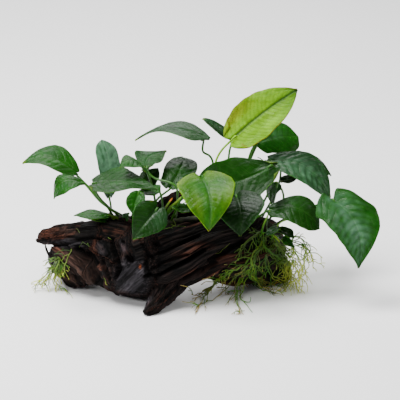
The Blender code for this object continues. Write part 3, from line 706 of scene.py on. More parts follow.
def leaf_material(name, roughness, ior, translucent, vein, contrast):
    """Living leaf: a waxy skin, unevenly smooth, on which the light lies in soft streaks."""
    made, tree, shader = new_material(name, roughness, ior)
    shader.inputs["Subsurface Weight"].default_value = translucent
    shader.inputs["Subsurface Radius"].default_value = (0.5, 1.0, 0.2)
    shader.inputs["Subsurface Scale"].default_value = 0.0015
    tint, rib = attribute(tree, "tint", "Color"), attribute(tree, "rib")
    place = add(tree, "TexCoord").outputs["Object"]
    mottle, grainy = noisy(tree, place, 140.0), noisy(tree, place, 420.0)
    # the side veins: one thin line on each whole number of the rib count, and fainter ones between
    line = ranged(tree, worked(tree, "PINGPONG", rib, 0.5), 0.0, 0.07, 1.0, 0.0)
    fine_line = ranged(tree, worked(tree, "PINGPONG", rib, 0.1), 0.0, 0.04, 0.35, 0.0)
    middle_line = ranged(tree, attribute(tree, "midrib"), 0.35, 1.1, 1.0, 0.0)
    veins = worked(tree, "MAXIMUM", line, fine_line)
    amount = worked(tree, "MULTIPLY", worked(tree, "MAXIMUM", veins, middle_line), contrast)
    mottled = scaled(tree, tint, ranged(tree, mottle, 0.3, 0.7, 0.78, 1.22))
    lighter = add(tree, "VectorMath", {0: tint, 1: (0.006, 0.014, 0.003)}, operation="ADD").outputs[0]
    both = {"Factor": amount, "A": mottled, "B": scaled(tree, lighter, vein)}
    coloured(tree, shader, add(tree, "Mix", both, data_type="VECTOR").outputs["Result"])
    rough = ranged(tree, mottle, 0.3, 0.7, roughness - 0.05, roughness + 0.12)
    tree.links.new(rough, shader.inputs["Roughness"])
    raised(tree, shader, worked(tree, "MULTIPLY_ADD", grainy, -2.2, veins), 0.45, 0.00035, invert=True)
    return made


def wood_material():
    """Old waterlogged driftwood: split along its grain, with painted shade in the cracks and painted light on
    the open ridges, and damp on the ridges.
    """
    made, tree, shader = new_material("Waterlogged driftwood", 0.7, 1.15)
    grain = attribute(tree, "grain", "Vector")
    long_grain = add(tree, "Mapping", {"Vector": grain, "Scale": (0.08, 1.0, 1.0)}).outputs[0]
    fibre = noisy(tree, long_grain, 620.0, 5.0, 0.65)
    streak = ranged(tree, fibre, 0.34, 0.68, 0.2, 2.1)
    wide = ranged(tree, noisy(tree, long_grain, 160.0), 0.3, 0.7, 0.55, 1.6)
    # painted shade and light: the colour darkens where the wood lies closed in its cracks and lightens where
    # it lies open
    depth = ranged(tree, attribute(tree, "relief"), 0.0, 0.9, 0.04, 2.6)
    shade = worked(tree, "MULTIPLY", worked(tree, "MULTIPLY", streak, wide), depth)
    coloured(tree, shader, scaled(tree, attribute(tree, "tint", "Color"), shade))
    rough = ranged(tree, noisy(tree, grain, 60.0), 0.3, 0.7, 0.5, 0.85)
    tree.links.new(rough, shader.inputs["Roughness"])
    raised(tree, shader, fibre, 0.8, 0.0006)
    return made


def flesh_material(name, roughness, scale, strength):
    """Plant flesh such as a petiole or a root: smooth, a little uneven, in its own tint."""
    made, tree, shader = new_material(name, roughness, 1.33)
    uneven = noisy(tree, add(tree, "TexCoord").outputs["Object"], scale)
    shade = ranged(tree, uneven, 0.3, 0.7, 0.7, 1.3)
    coloured(tree, shader, scaled(tree, attribute(tree, "tint", "Color"), shade))
    raised(tree, shader, uneven, strength, 0.0003)
    return made


# Driftwood

def bark(share, angle, seed):
    """How far the wood stands in or out, as in the part."""
    turned = spun(angle, share)
    drift = noise.noise(Vector((share * 5, seed, 0.3)))
    ridges = 0.5 - abs(math.sin(3 * turned + drift))
    fine = 0.5 - abs(math.sin(5 * turned - 1.7 * drift + 2.1 * seed))
    lumps = noise.noise(Vector((math.cos(angle) * 1.3, math.sin(angle) * 1.3, share * 8 + seed * 7)))
    return 1 + 0.08 * ridges + 0.05 * fine + 0.11 * lumps


def to_line(across, up, points, reach):
    """Distance from a point as seen to a line of points, or None where it is further than reach."""
    best = reach
    for first, second in zip(points, points[1:]):
        if min(first[0], second[0]) - reach > across or max(first[0], second[0]) + reach < across:
            continue
        run, rise = second[0] - first[0], second[1] - first[1]
        share = ((across - first[0]) * run + (up - first[1]) * rise) / max(run * run + rise * rise, 1e-6)
        share = clamp(share)
        best = min(best, math.hypot(across - first[0] - share * run, up - first[1] - share * rise))
    return best if best < reach else None


def wood_marks(across, up):
    """How far the wood's named clefts, pits and ridges move its front, in mm."""
    height = 0
    for line, width, rise in WOOD_MARKS:
        distance = to_line(across, up, line, width)
        if distance is not None:
            height += rise * (1 - (distance / width) ** 2)
    return height


def front_grain(across, up):
    """Grain coordinates on the front of the left half, where each plate of the wood runs its own way."""
    wander = 5 * noise.noise(Vector((across * 0.08, up * 0.08, 4.4)))
    far = [math.hypot(across + wander - x, up - wander - y) ** 2 for x, y, _ in GRAIN_WAYS]
    nearest = min(far)
    total, place = 0, Vector()
    for number, (x, y, degrees) in enumerate(GRAIN_WAYS):
        weight = math.exp((nearest - far[number]) / 24)
        if weight > 0.01:
            turn = math.radians(degrees)
            cos, sin = math.cos(turn), math.sin(turn)
            run, rise = across - x, up - y
            forward, sideways = run * cos + rise * sin, rise * cos - run * sin
            place += Vector((forward + 37.4 * number, sideways + 53.7 * number, 8.6)) * weight
            total += weight
    return place / total


def strands(grain, along_grain, across_grain, offset):
    """Noise drawn out along the grain: its scales are per millimetre."""
    drawn = (grain.x * along_grain + offset, grain.y * across_grain, grain.z * across_grain)
    return noise.noise(Vector(drawn))


def wood_relief(grain, worn, lumpy):
    """Height of the weathered grain in mm, and how open it lies to the light, from 0 to 1, which is painted
    into the colour as light and shade.
    """
    warp = 5 * noise.noise(grain * 0.03) + 1.1 * noise.noise(grain * 0.12)
    grain = grain + Vector((0, warp, 0.7 * warp))
    broad = min(abs(strands(grain, 0.007, 0.085, 3)), 0.45)
    middle = min(abs(strands(grain, 0.012, 0.2, 9)), 0.4)
    fine = min(abs(strands(grain, 0.022, 0.47, 17)), 0.4)
    rough = strands(grain, 0.15, 0.45, 23)
    height = (3.6 * broad + 3.4 * middle) * (1 - 0.8 * worn) + (2.6 * fine + 0.35 * rough) * (1 - 0.4 * worn)
    lumps = 3.0 * noise.noise(grain * 0.19) + 1.6 * noise.noise(grain * 0.42)
    height += 0.6 * worn - 1.8 + lumpy * lumps
    # painted shade: the cracks between the strands will darken the colour
    split = min(broad / 0.07, middle / 0.08, fine / 0.1, 1)
    return height, split * min(max(0.45 + 0.35 * height, 0.1), 1)


def spun(angle, share):
    """An angle round the log, turned with the grain, which winds round its right limb."""
    return angle - GRAIN_TURN * past(share, RIGHT_FORK)


def patched(tint, painted_light, grain, across, up, facing, tints):
    """The wood's colour and its painted light, with its patches. Broken wood keeps some painted light,
    streaked by its fine fibres.
    """
    for x, y, wide, high, name, strength in WOOD_PATCHES:
        nearness = 1.3 - math.hypot((across - x) / wide, (up - y) / high)
        if nearness > 0:
            if name == "pink":
                painted_light = max(painted_light, (0.17 + 0.22 * strands(grain, 0.05, 0.9, 5)) * min(nearness * 2, 1))
            tint = blend(tint, tints[name], strength * facing * min(nearness * 1.5, 1))
    return tint, painted_light


def rounded(spot):
    """A point as a key that stays the same when the point is stored."""
    return tuple(round(value, 4) for value in spot)


def note_wood(mesh, note):
    """Writes on each point its grain coordinates, its colour and its painted light and shade, from
    note(point).
    """
    grain_layer = mesh.verts.layers.float_vector.new("grain")
    tint_layer = new_tint(mesh)
    # this attribute holds the painted light and shade, not a height
    painted_light_layer = mesh.verts.layers.float.new("relief")
    for vert in mesh.verts:
        grain, tint, painted_light = note(vert)
        vert[grain_layer], vert[tint_layer], vert[painted_light_layer] = grain * MM, (*tint, 1), painted_light


def wood_loft(stations, sides, rings, seed, start=0.0, end=1.0, grain_offset=0.0, marks=True):
    """A stretch of weathered wood round its path, with its colours and grain noted on its points."""
    points = [place for place, _ in stations]
    girths = [(*size, 0) for _, size in stations]
    mesh = bmesh.new()
    notes = {}
    tints = named_colours("wood", "black", "brown", "red", "pink", "grey", "orange")
    ring_frames = []
    for ring in range(rings + 1):
        share = start + (end - start) * ring / rings
        ring_frames.append((share, *frame_at(points, share)[:3], along(girths, share)))
    grain_height = sizes().grain

    def place(ring, angle):
        share, middle, side, upward, girth = ring_frames[ring]
        turned = spun(angle, share) if marks else angle
        winding = GRAIN_RADIUS * math.cos(turned), GRAIN_RADIUS * math.sin(turned)
        grain = Vector((share * LOG_LENGTH + grain_offset, *winding))
        bumpy = bark(share, angle, seed)
        cos, sin = math.cos(angle), math.sin(angle)
        spot = middle + side * (cos * girth.x * bumpy) + upward * (sin * girth.y * bumpy)
        across, up = spot.x, shown_up(spot)
        facing = clamp((math.cos(angle - FRONT_ANGLE) - 0.1) / 0.35)
        worn, lumpy = 0, 0
        if marks:
            if facing and across < PLATES_END:
                grain = blend(grain, front_grain(across, up), facing * (PLATES_END - across) / PLATES_FADE)
            worn = facing * close_to(WORN_FACE, across, up)
            lumpy = facing * close_to(LUMPY_HUMP, across, up)
        height, painted_light = wood_relief(grain, worn, lumpy)
        height *= grain_height * min(1, girth.x / THIN_WOOD)
        tint = blend(tints["black"], tints["brown"], 0.45 + noise.noise(grain * 0.04) + 0.25 * height)
        redder = strands(grain, 0.012, 0.11, 61)
        tint = blend(tint, tints["red"], min(redder * 1.4, 0.45) * clamp(height))
        if facing:
            if marks:
                mark = wood_marks(across, up) * facing
                height += mark
                # painted shade: clefts and pits are darkened
                painted_light *= min(max(1 + 0.22 * mark, 0.05), 1)
            tint, painted_light = patched(tint, painted_light, grain, across, up, facing, tints)
        outward = side * (cos / max(girth.x, 1)) + upward * (sin / max(girth.y, 1))
        spot += outward.normalized() * height
        spot.z = max(spot.z, 0)
        notes[rounded(spot)] = (grain, tint, painted_light)
        return spot

    add_tube(mesh, sides, rings, place)
    unnoted = (Vector((0, 0, 0)), tints["black"], 0.2)
    note_wood(mesh, lambda vert: notes.get(rounded(vert.co), unnoted))
    if marks:
        for edge in mesh.edges:
            ends = [face for face in edge.link_faces if len(face.verts) == 3]
            edge.smooth = len(ends) != 1
    return mesh


def splinters():
    """The thin splinters that stand off the wood, in one bmesh."""
    mesh = bmesh.new()
    for line, radius in SPLINTERS:
        def reach(share, angle):
            uneven = noise.noise(Vector((math.cos(angle), share * 5, radius)))
            return radius * (1 - 0.5 * abs(2 * share - 1) ** 3 + 0.3 * uneven)

        add_thin_tube(mesh, [seen(*place) for place in line], 10, 8 * len(line), reach)
    note_wood(mesh, lambda vert: (vert.co, named_colour("wood_brown"), 0.5))
    return mesh


class OBJECT_OT_anubias_driftwood(bpy.types.Operator):
    """Builds the log in its three stretches, the front foot, the back branch and the splinters"""
    bl_idname = "object.anubias_driftwood"
    bl_label = "Driftwood"

    def execute(self, context):
        material = wood_material()
        fine = 1
        sides = int(sizes().wood_sides * fine)

        def loft(stations, length, share_of_sides, seed, **more):
            rings = int(length * RINGS_PER_MM * fine)
            return wood_loft(stations, int(sides * share_of_sides), rings, seed, **more)

        def spur(stations, length, share_of_sides, seed, grain_offset):
            return loft(stations, length, share_of_sides, seed, grain_offset=grain_offset, marks=False)

        def as_seen(stations):
            return [(seen(*place), size) for place, size in stations]

        def add_wood(name, mesh):
            finished("wood_" + name, mesh, material, "driftwood", "driftwood_" + name)

        left = loft(LOG, 95, 1, LOG_SEED, end=LEFT_FORK)
        add_wood("left_limb", joined(left, spur(as_seen(LEDGE), 60, 0.4, 7.7, 900)))
        add_wood("trunk", loft(LOG, 75, 1, LOG_SEED, start=LEFT_FORK, end=RIGHT_FORK))
        add_wood("right_limb", loft(LOG, 140, 1, LOG_SEED, start=RIGHT_FORK))
        add_wood("front_foot", spur(FRONT_FOOT, 70, 0.5, 4.6, 400))
        finished("wood_splinters", splinters(), material, "driftwood")
        branch = spur(BACK_BRANCH, 65, 0.3, 5.2, 600)
        add_wood("back_branch", joined(branch, spur(as_seen(BACK_SPUR), 55, 0.25, 6.1, 700)))
        return {"FINISHED"}


# Leaves

def blade_frame(shape):
    """What places a blade: base, direction, length, half-width, sideways, normal and bow."""
    base, tip = seen(*shape["base"]), seen(*shape["tip"])
    first, second = (seen(*edge) for edge in shape["edges"])
    length = (tip - base).length
    direction = (tip - base) / length
    side = (second - first) / 2
    side -= direction * side.dot(direction)
    half = side.length
    side /= half
    normal = side.cross(direction)
    if normal.dot(Vector((0, -0.5, 1))) < 0:
        normal = -normal
    bow = (first + second) / 2 - (base + direction * (length * shape["broad"]))
    bow -= direction * bow.dot(direction)
    return base, direction, length, half, side, normal, bow


def edge_start(shape, across):
    """A blade's width at its base against its greatest width, on one side of the midrib."""
    return shape.get("first_start" if across < 0 else "second_start", shape["start"])


def outline(shape, across, share):
    """Half-width of a blade a share of the way up it, against its greatest half-width."""
    start = edge_start(shape, across)
    broad = shape["broad"]
    if share < broad:
        corner = 1 - 0.4 * max(1 - share / 0.06, 0) ** 2
        return corner * (start + (1 - start) * math.sin(math.pi / 2 * share / broad))
    blunt = 0.75 if shape["taper"] > 3 else 1
    return max((1 - ((share - broad) / (1 - broad)) ** shape["taper"]) ** blunt, 0.012)


def lobe_rounding(shape, across):
    """How far the base corners move forward so that the lobes end round, as a share of the length."""
    start = edge_start(shape, across)
    opening = 1 / ((1 - start) * math.pi / (2 * shape["broad"]))
    return max((opening - 3.45 * shape["lobe"] / start) / (1 / start + opening) / 6, 0)


def rib_count(shape, across, share):
    """Counts the side veins from the base: they leave the midrib and curve on towards the tip."""
    return shape["ribs"] * (share * 1.15 - 0.32 * abs(across) ** 1.35 * (1 - 0.45 * share)) + 0.5


def blade_surface(shape, placed, across, share, seed):
    """A point of a blade, its way to the midrib and its rib count; across runs from -1 to 1 over it."""
    base, direction, length, half, side, normal, bow = placed
    broad = shape["broad"]
    uneven = 1 + 0.05 * noise.noise(Vector((share * 7, 4 * (across > 0), seed)))
    width = outline(shape, across, share) * uneven
    bowed = share * (1 - share) / (broad * (1 - broad))
    edge = abs(across)
    back = shape["lobe"] * length * math.sin(math.pi * edge ** shape["closing"]) * (1 - share) ** 4
    ahead = lobe_rounding(shape, across) * length * edge ** 6 * (1 - share) ** 6
    lift = shape["fold"] * half * (edge * width - bowed)
    from_middle = half * width * edge
    rib = rib_count(shape, across, share)
    between = abs(math.sin(math.pi * rib)) ** 0.7
    room = min(edge * 5, 1) * min((1 - edge) * 6, 1) * min((1 - share) * 6, 1) * min(share * 8 + 0.3, 1)
    lift += sizes().puff * shape["puff"] * (between - 0.4) * room
    lift -= 0.9 * bell(from_middle, 1.1) * (1 - 0.6 * share)
    lift += shape["wave"] * edge ** 3 * math.sin(9 * share + 3 * (across > 0) + seed)
    lift += 0.9 * noise.noise(Vector((across * 1.4 + seed, share * 2.6, seed)))
    dimple = Vector((across * half * 0.2 + seed, share * length * 0.17, seed + 7))
    lift += shape["quilt"] * noise.noise(dimple)
    place = base + direction * (length * share - back + ahead) + bow * bowed
    place += side * (half * width * across) + normal * lift
    return place, from_middle, rib


def leaf_tint(shape, across, share, from_middle, rib, tints, seed):
    """A blade's colour at one place: by its kind, under patches of painted gloss, a grey-green highlight that
    is strongest between the ribs.
    """
    made = kind_tint(shape, across, share, from_middle, rib, tints, seed)
    # painted gloss: grey-green highlight patches painted into the blade's colour
    *area, strength = shape["bloom"]
    broken = 0.75 + 0.9 * noise.noise(Vector((across * 4 + seed, rib * 1.1, 5.5)))
    between = 0.35 + 0.65 * abs(math.sin(math.pi * rib))
    return blend(made, tints["bloom"], strength * close_to(area, across, share) * broken * between)


def kind_tint(shape, across, share, from_middle, rib, tints, seed):
    """The colour of a blade at one place, by the kind of leaf."""
    edge = abs(across)
    kind, shade = shape["kind"], shape["shade"]
    patch = 0.5 + noise.noise(Vector((across * 2 + seed, share * 3, 2.0)))
    if kind == "dark":
        made = blend(tints["dark"], tints["deep"], 0.35 * patch + max(-shade, 0) * 0.6)
        # painted sheen: a shade above 0 mixes in the grey-green of reflected light
        made = blend(made, tints["painted_sheen"], max(shade, 0) * 0.55 * (0.5 + patch * 0.5))
        made = blend(made, tints["bright"], 0.8 * past(edge, 0.93))
        return blend(made, tints["pale"], shape["pale_tip"] * past(share, 0.93))
    if kind == "bright":
        made = blend(tints["bright"], tints["dark"], 0.35 + 0.3 * patch - 0.5 * shade)
        made = blend(made, tints["lime"], 0.5 * past(edge, 0.9))
        return blend(made, tints["pale"], shape["pale_tip"] * past(share, 0.93))
    if kind == "lime":
        made = blend(tints["lime"], tints["pale"], 0.18 * patch + 0.5 * max(1 - share * 5, 0) * edge)
        made = blend(made, tints["bright"], 0.35 * bell(from_middle, 6))
        # painted sheen: a grey-green highlight painted along the midrib
        made = blend(made, tints["painted_sheen"], 0.3 * bell(from_middle, 1.5))
        made = blend(made, tints["yellow"], 0.7 * past(edge, 0.94))
        return blend(made, tints["brown"], 0.6 * past(share, 0.965))
    made = blend(tints["yellow"], tints["lime"], 0.25 * patch + 0.55 * past(share, 0.55))
    made = blend(made, tints["brown"], 0.45 * bell(across + 0.75, 0.3) * bell(share - 0.2, 0.25))
    made = blend(made, tints["dark"], 0.75 * bell(from_middle, 1.6) + 0.12 * bell(from_middle, 8))
    made = blend(made, tints["lime"], 0.35 * (1 - abs(math.sin(math.pi * rib))) ** 3)
    return blend(made, tints["brown"], 0.8 * past(edge, 0.955))


def blade_mesh(shape, seed):
    """One blade with its ribs, lobes and waves, thicker along the midrib underneath."""
    placed = blade_frame(shape)
    half, normal = placed[3], placed[5]
    tints = named_colours(
        "leaf", "dark", "deep", "painted_sheen", "bright", "lime", "pale", "yellow", "bloom", "brown")
    mesh = bmesh.new()
    new_layer = mesh.verts.layers.float.new
    rib_layer, midrib_layer, share_layer = new_layer("rib"), new_layer("midrib"), new_layer("share")
    tint_layer = new_tint(mesh)
    detail = min(1, max(0.45, half / 20))
    columns = 2 * round(BLADE_COLUMNS * detail / 2)
    bmesh.ops.create_grid(mesh, x_segments=columns, y_segments=round(BLADE_ROWS * detail), size=0.5)
    for vert in mesh.verts:
        across, share = vert.co.x * 2, vert.co.y + 0.5
        vert.co, from_middle, rib = blade_surface(shape, placed, across, share, seed)
        vert[rib_layer], vert[midrib_layer], vert[share_layer] = rib, from_middle, share
        vert[tint_layer] = (*leaf_tint(shape, across, share, from_middle, rib, tints, seed), 1)
    mesh.normal_update()
    flip = 1 if sum((face.normal for face in mesh.faces), Vector()).dot(normal) > 0 else -1
    down = {vert.co.copy().freeze(): -flip * vert.normal for vert in mesh.verts}
    copied = bmesh.ops.extrude_face_region(mesh, geom=mesh.faces[:], use_keep_orig=True)["geom"]
    for vert in copied:
        if isinstance(vert, bmesh.types.BMVert):
            bulge = 1.3 * bell(vert[midrib_layer], 1.2) * (1 - 0.75 * vert[share_layer])
            vert[tint_layer] = (*blend(Vector(vert[tint_layer][:3]), tints["pale"], 0.22), 1)
            vert.co += down[vert.co.copy().freeze()] * (sizes().blade_thickness + bulge)
    return mesh


class OBJECT_OT_anubias_blades(bpy.types.Operator):
    """Builds the leaf blades"""
    bl_idname = "object.anubias_blades"
    bl_label = "Leaf blades"

    def execute(self, context):
        materials = {
            "dark": leaf_material("Mature waxy leaf", 0.18, 1.22, 0.0, 1.5, 0.35),
            "bright": leaf_material("Fresh waxy leaf", 0.19, 1.19, 0.05, 1.5, 0.35),
            "lime": leaf_material("Young soft leaf", 0.21, 1.2, 0.12, 0.7, 0.6),
            "yellow": leaf_material("New thin leaf", 0.34, 1.18, 0.15, 0.7, 0.75),
        }
        for number, (name, shape) in enumerate(LEAVES.items()):
            mesh = blade_mesh(shape, 1.7 * number)
            kind = shape["kind"]
            finished("blade_" + name, mesh, materials[kind], "leaf_" + kind, "leaf_" + name)
        for number, (name, shape) in enumerate(SPROUTS.items()):
            kind = shape["kind"]
            finished(name, blade_mesh(shape, 0.9 * number), materials[kind], "leaf_" + kind)
        return {"FINISHED"}


# Petioles and rhizomes

def nearest_on(points, across):
    """The place of a rhizome's middle at a given place across."""
    shares = [step / 60 for step in range(61)]
    return min((along(points, share) for share in shares), key=lambda spot: abs(spot.x - across))


def stem_path(shape):
    """The middle line of a petiole, from inside the rhizome to the midrib under the blade."""
    base, direction, _, _, _, normal, _ = blade_frame(shape)
    rhizome_name, across = shape["root"]
    root = nearest_on(LEFT_RHIZOME if rhizome_name == "left" else MAIN_RHIZOME, across)
    under = base - normal * 1.5 - direction * 1.2
    turns = [seen(*place) for place in shape["turns"]]
    toward = ((turns + [under])[0] - root).normalized()
    toward.z = max(toward.z, 0.9)
    start = root + toward.normalized() * 6.0
    inside = root + toward.normalized() * 2.5
    return [inside, start] + turns + [under, base + direction * 5 - normal * 0.8]


def petiole(shape, low_colour, top_colour):
    """A petiole with a sheath at its foot and a knee under the blade."""
    points = stem_path(shape)
    mesh = bmesh.new()
    layer = new_tint(mesh)
    middles = [along(points, ring / STEM_RINGS) for ring in range(STEM_RINGS + 1)]

    def reach(share, angle):
        sheath = 0.55 * bell(share, 0.16)
        knee = 0.22 * bell(share - 0.86, 0.04)
        return blend(STEM_RADIUS_LOW, STEM_RADIUS_HIGH, share) + sheath + knee - 0.5 * past(share, 0.93)

    for vert in add_thin_tube(mesh, points, 10, STEM_RINGS, reach):
        nearest = min(range(STEM_RINGS + 1), key=lambda ring: (middles[ring] - vert.co).length_squared)
        vert[layer] = (*blend(low_colour, top_colour, nearest / STEM_RINGS * 2.2), 1)
    for vert in mesh.verts:
        if vert[layer][3] == 0:
            vert[layer] = (*named_colour("stem_green"), 1)
    return mesh


def shoots():
    """The thin stalks of new growth, in one bmesh."""
    mesh = bmesh.new()
    layer = new_tint(mesh)
    for line, radius, start_colour, end_colour in SHOOTS:
        points = [seen(*place) for place in line]
        colours = named_colour(start_colour), named_colour(end_colour)
        length = (points[-1] - points[0]).length

        def reach(share, angle):
            return radius * (1 - 0.55 * share ** 2)

        for vert in add_thin_tube(mesh, points, 9, 6 * len(line), reach):
            share = min((vert.co - points[0]).length / length, 1)
            vert[layer] = (*blend(*colours, share ** 2), 1)
    return mesh


class OBJECT_OT_anubias_petioles(bpy.types.Operator):
    """Builds the petioles that carry the blades, and the new shoots"""
    bl_idname = "object.anubias_petioles"
    bl_label = "Petioles"

    def execute(self, context):
        material = flesh_material("Smooth petiole", 0.35, 220.0, 0.15)
        green, brown = named_colour("stem_green"), named_colour("stem_brown")
        tops = {"dark": green, "bright": green, **named_colours("leaf", "lime", "yellow")}
        for name, shape in LEAVES.items():
            mesh = petiole(shape, brown, tops[shape["kind"]])
            finished("petiole_" + name, mesh, material, "stem", "stem_" + name)
        finished("new_shoots", shoots(), material, "stem")
        return {"FINISHED"}


class OBJECT_OT_anubias_rhizomes(bpy.types.Operator):
    """Builds the creeping rhizomes with their leaf scars"""
    bl_idname = "object.anubias_rhizomes"
    bl_label = "Rhizomes"

    def execute(self, context):
        material = flesh_material("Knobbly rhizome", 0.7, 350.0, 0.5)
        green, brown = named_colour("rhizome_green"), named_colour("stem_brown")
        for name, points, seed in (("left", LEFT_RHIZOME, 0.6), ("main", MAIN_RHIZOME, 2.4)):
            mesh = bmesh.new()
            layer = new_tint(mesh)
            length = path_length(points)

            def reach(share, angle):
                taper = 1 - 0.35 * abs(2 * share - 1) ** 3
                scar = 0.4 * max(math.sin(share * length / 5.5 * math.tau + math.sin(angle)), 0) ** 2
                knob = Vector((share * length * 0.2, math.cos(angle), math.sin(angle) + seed))
                return RHIZOME_RADIUS * taper * 0.95 + scar + 0.6 * noise.noise(knob)

            add_thin_tube(mesh, points, 20, int(length * 1.2), reach)
            for vert in mesh.verts:
                mix = 0.5 + noise.noise(vert.co * 0.25)
                vert[layer] = (*blend(green, brown, mix), 1)
            finished("rhizome_" + name + "_skin", mesh, material, "rhizome", "rhizome_" + name)
        return {"FINISHED"}


# Roots

def wood_tree():
    """The visible wood as a tree for finding where a line of sight meets it, in millimetres before SHIFT."""
    points, faces = [], []
    for piece in bpy.data.objects:
        if piece.name.startswith("wood_"):
            first = len(points)
            points += [vert.co / MM - SHIFT for vert in piece.data.vertices]
            faces += [[first + corner for corner in face.vertices] for face in piece.data.polygons]
    return BVHTree.FromPolygons(points, faces)


def on_wood(tree, across, up, gap):
    """The point just in front of the wood at a place as seen, or None where there is no wood behind it."""
    hit = tree.ray_cast(seen(across, up, IN_FRONT), VIEW_LINE)[0]
    return None if hit is None else hit - VIEW_LINE * gap


def lay_down(tree, line, gap, away, phase, wiggle):
    """A root's way: it wanders along its line, lies on the wood behind it and hangs where there is none."""
    line = [(*place, 0) for place in line]
    steps = max(3, round(path_length(line) / ROOT_STEP))
    seen_places, depths = [], []
    for step in range(steps + 1):
        spot = along(line, step / steps)
        wander = Vector((spot.x * 0.16 + phase, spot.y * 0.16, phase))
        across = spot.x + wiggle * noise.noise(wander)
        up = spot.y + wiggle * noise.noise(wander.zxy)
        under = on_wood(tree, across, up, gap)
        up = max(up, LOWEST_ROOT)
        on_floor = (up - 1) / math.sin(VIEW_TILT)
        if under is not None:
            away = min(under.y, away + 2.5)
        else:
            away += 1.6 * noise.noise(wander * 1.7)
        away = min(away, on_floor)
        seen_places.append((across, up))
        depths.append(away)
    for _ in range(3):
        for step in range(1, steps):
            depths[step] = min((depths[step - 1] + depths[step] + depths[step + 1]) / 3, depths[step] + 0.3)
    return [seen(across, up, depth) for (across, up), depth in zip(seen_places, depths)]


def add_root(mesh, points, radius, colours_at):
    """One root: a thin tapering tube with rounded bends, made apart and then put into the mass."""
    def reach(share, angle):
        return radius * (1 - 0.3 * share ** 2)

    root = bmesh.new()
    layer = new_tint(root)
    for vert in add_thin_tube(root, points, 5, round(1.5 * len(points)), reach):
        share = 1 - (vert.co - points[-1]).length / max((points[0] - points[-1]).length, 1)
        vert[layer] = (*colours_at(vert.co.x, shown_up(vert.co), share), 1)
    joined(mesh, root)


def add_branches(mesh, tree, path, radius, colours_at, rng, spacing, level=1):
    """Side roots that leave a root to both sides, bend on downwards and branch once more."""
    place = rng.uniform(1.5, 3.5)
    while place < len(path) - 1.5:
        index = int(place)
        start, after = path[index], path[index + 1]
        forward = Vector((after.x - start.x, (after.z - start.z)))
        heading = math.atan2(forward.y, forward.x) + rng.choice((-1, 1)) * math.radians(rng.uniform(28, 62))
        reach = rng.uniform(6, 19) if level == 1 else rng.uniform(2.5, 7)
        line = [(start.x, shown_up(start))]
        for _ in range(BRANCH_STEPS):
            across, up = line[-1]
            step = reach / BRANCH_STEPS
            line.append((across + step * math.cos(heading), up + step * math.sin(heading)))
            downward = (-math.pi / 2 - heading + math.pi) % math.tau - math.pi
            heading += 0.12 * downward + rng.uniform(-0.3, 0.3)
        branch = lay_down(tree, line, rng.uniform(0.4, 1.6), start.y, rng.uniform(0, 99), 0.8)
        branch[0] = start
        add_root(mesh, branch, radius * 0.85, colours_at)
        if level == 1:
            add_branches(mesh, tree, branch, radius * 0.85, colours_at, rng, spacing, 2)
        place += spacing * rng.uniform(0.6, 1.4)


def root_mass(mesh, lines, seed, tree, radius, depth, spacing):
    """A mass of roots in one mesh: the copies of a line stray from it and hang further out."""
    rng = random.Random(seed)
    new_tint(mesh)
    tips = named_colours("root", "green", "olive", "yellow", "tan", "tip")
    tips["yellow"] = blend(tips["yellow"], tips["tip"], 0.3)
    for line, copies, stray, tip_name in lines:
        for copy in range(copies):
            shift = (rng.uniform(-stray, stray), rng.uniform(-stray, stray))
            first = rng.choice((0, 0, 1)) if copy and len(line) > 4 else 0
            last = len(line) - (rng.choice((0, 0, 1)) if copy and len(line) > 4 else 0)
            loose = [0.3 + place / len(line) for place in range(len(line))]
            moved = [(x + shift[0] * far, y + shift[1] * far) for far, (x, y) in zip(loose, line)][first:last]
            light = rng.uniform(0.35, 1.25)
            body = blend(tips["green"], tips["olive"], rng.uniform(0, 0.9)) * light
            tip = tips[tip_name] * (0.5 + 0.5 * light)

            def colours_at(across, up, share):
                # yellower at the lower right of the tangle, and darker higher up to the left of there, where
                # shade is painted into the tangle's middle
                outer = clamp((across - 78) / 22) * clamp((44 - up) / 24)
                inner_shade = clamp((96 - across) / 14) * clamp((up - 22) / 20)
                made = blend(body, tips["yellow"], 0.75 * outer) * (1 - 0.45 * inner_shade)
                return blend(made, tip, (share - 0.4) / 0.5 - inner_shade)

            thick = radius * rng.uniform(0.8, 1.2)
            gap = rng.uniform(0.4, 1.4) + depth * rng.random() * min(copy, 3) / 3
            path = lay_down(tree, moved, gap, 12, rng.uniform(0, 99), 3.0)
            add_root(mesh, path, thick, colours_at)
            if spacing:
                add_branches(mesh, tree, path, thick, colours_at, rng, spacing)


class OBJECT_OT_anubias_roots(bpy.types.Operator):
    """Builds the root tangle on the right, the tuft on the left and the roots that lie on the wood"""
    bl_idname = "object.anubias_roots"
    bl_label = "Roots"

    def execute(self, context):
        material = flesh_material("Fine living root", 0.42, 500.0, 0.3)
        tree = wood_tree()
        radius = sizes().root_radius
        for name, lines, seed, thick, depth, spacing, nodes in (
            ("roots_tangle", TANGLE, 11, radius, 7, 6.8, ("root_tangle",)),
            ("roots_tuft", TUFT, 5, radius, 5, 11.0, ("root_tuft",)),
            ("roots_on_wood", STRAYS, 3, radius * 0.5, 0, 0, ()),
        ):
            mesh = bmesh.new()
            root_mass(mesh, lines, seed, tree, thick, depth, spacing)
            finished(name, mesh, material, "root", *nodes)
        return {"FINISHED"}


# Stage

# Lamps round the object: name, place and width in metres, power in watts
SOFT_LAMPS = (
    ("above", (-0.5, -0.1, 1.35), 0.8, 50),
    ("behind", (-0.2, 1.0, 1.0), 1.0, 12),
    ("front left", (-1.1, -1.0, 0.8), 0.5, 12),
    ("right", (1.2, -0.3, 0.9), 0.5, 7),
)
LAMPS_AIM = Vector((0, -0.02, 0.09))
AIM_UP = 99  # how far up the middle of the picture lies, in mm as seen
SHOT_WIDTH = 0.4  # how much the camera shows from side to side, in metres


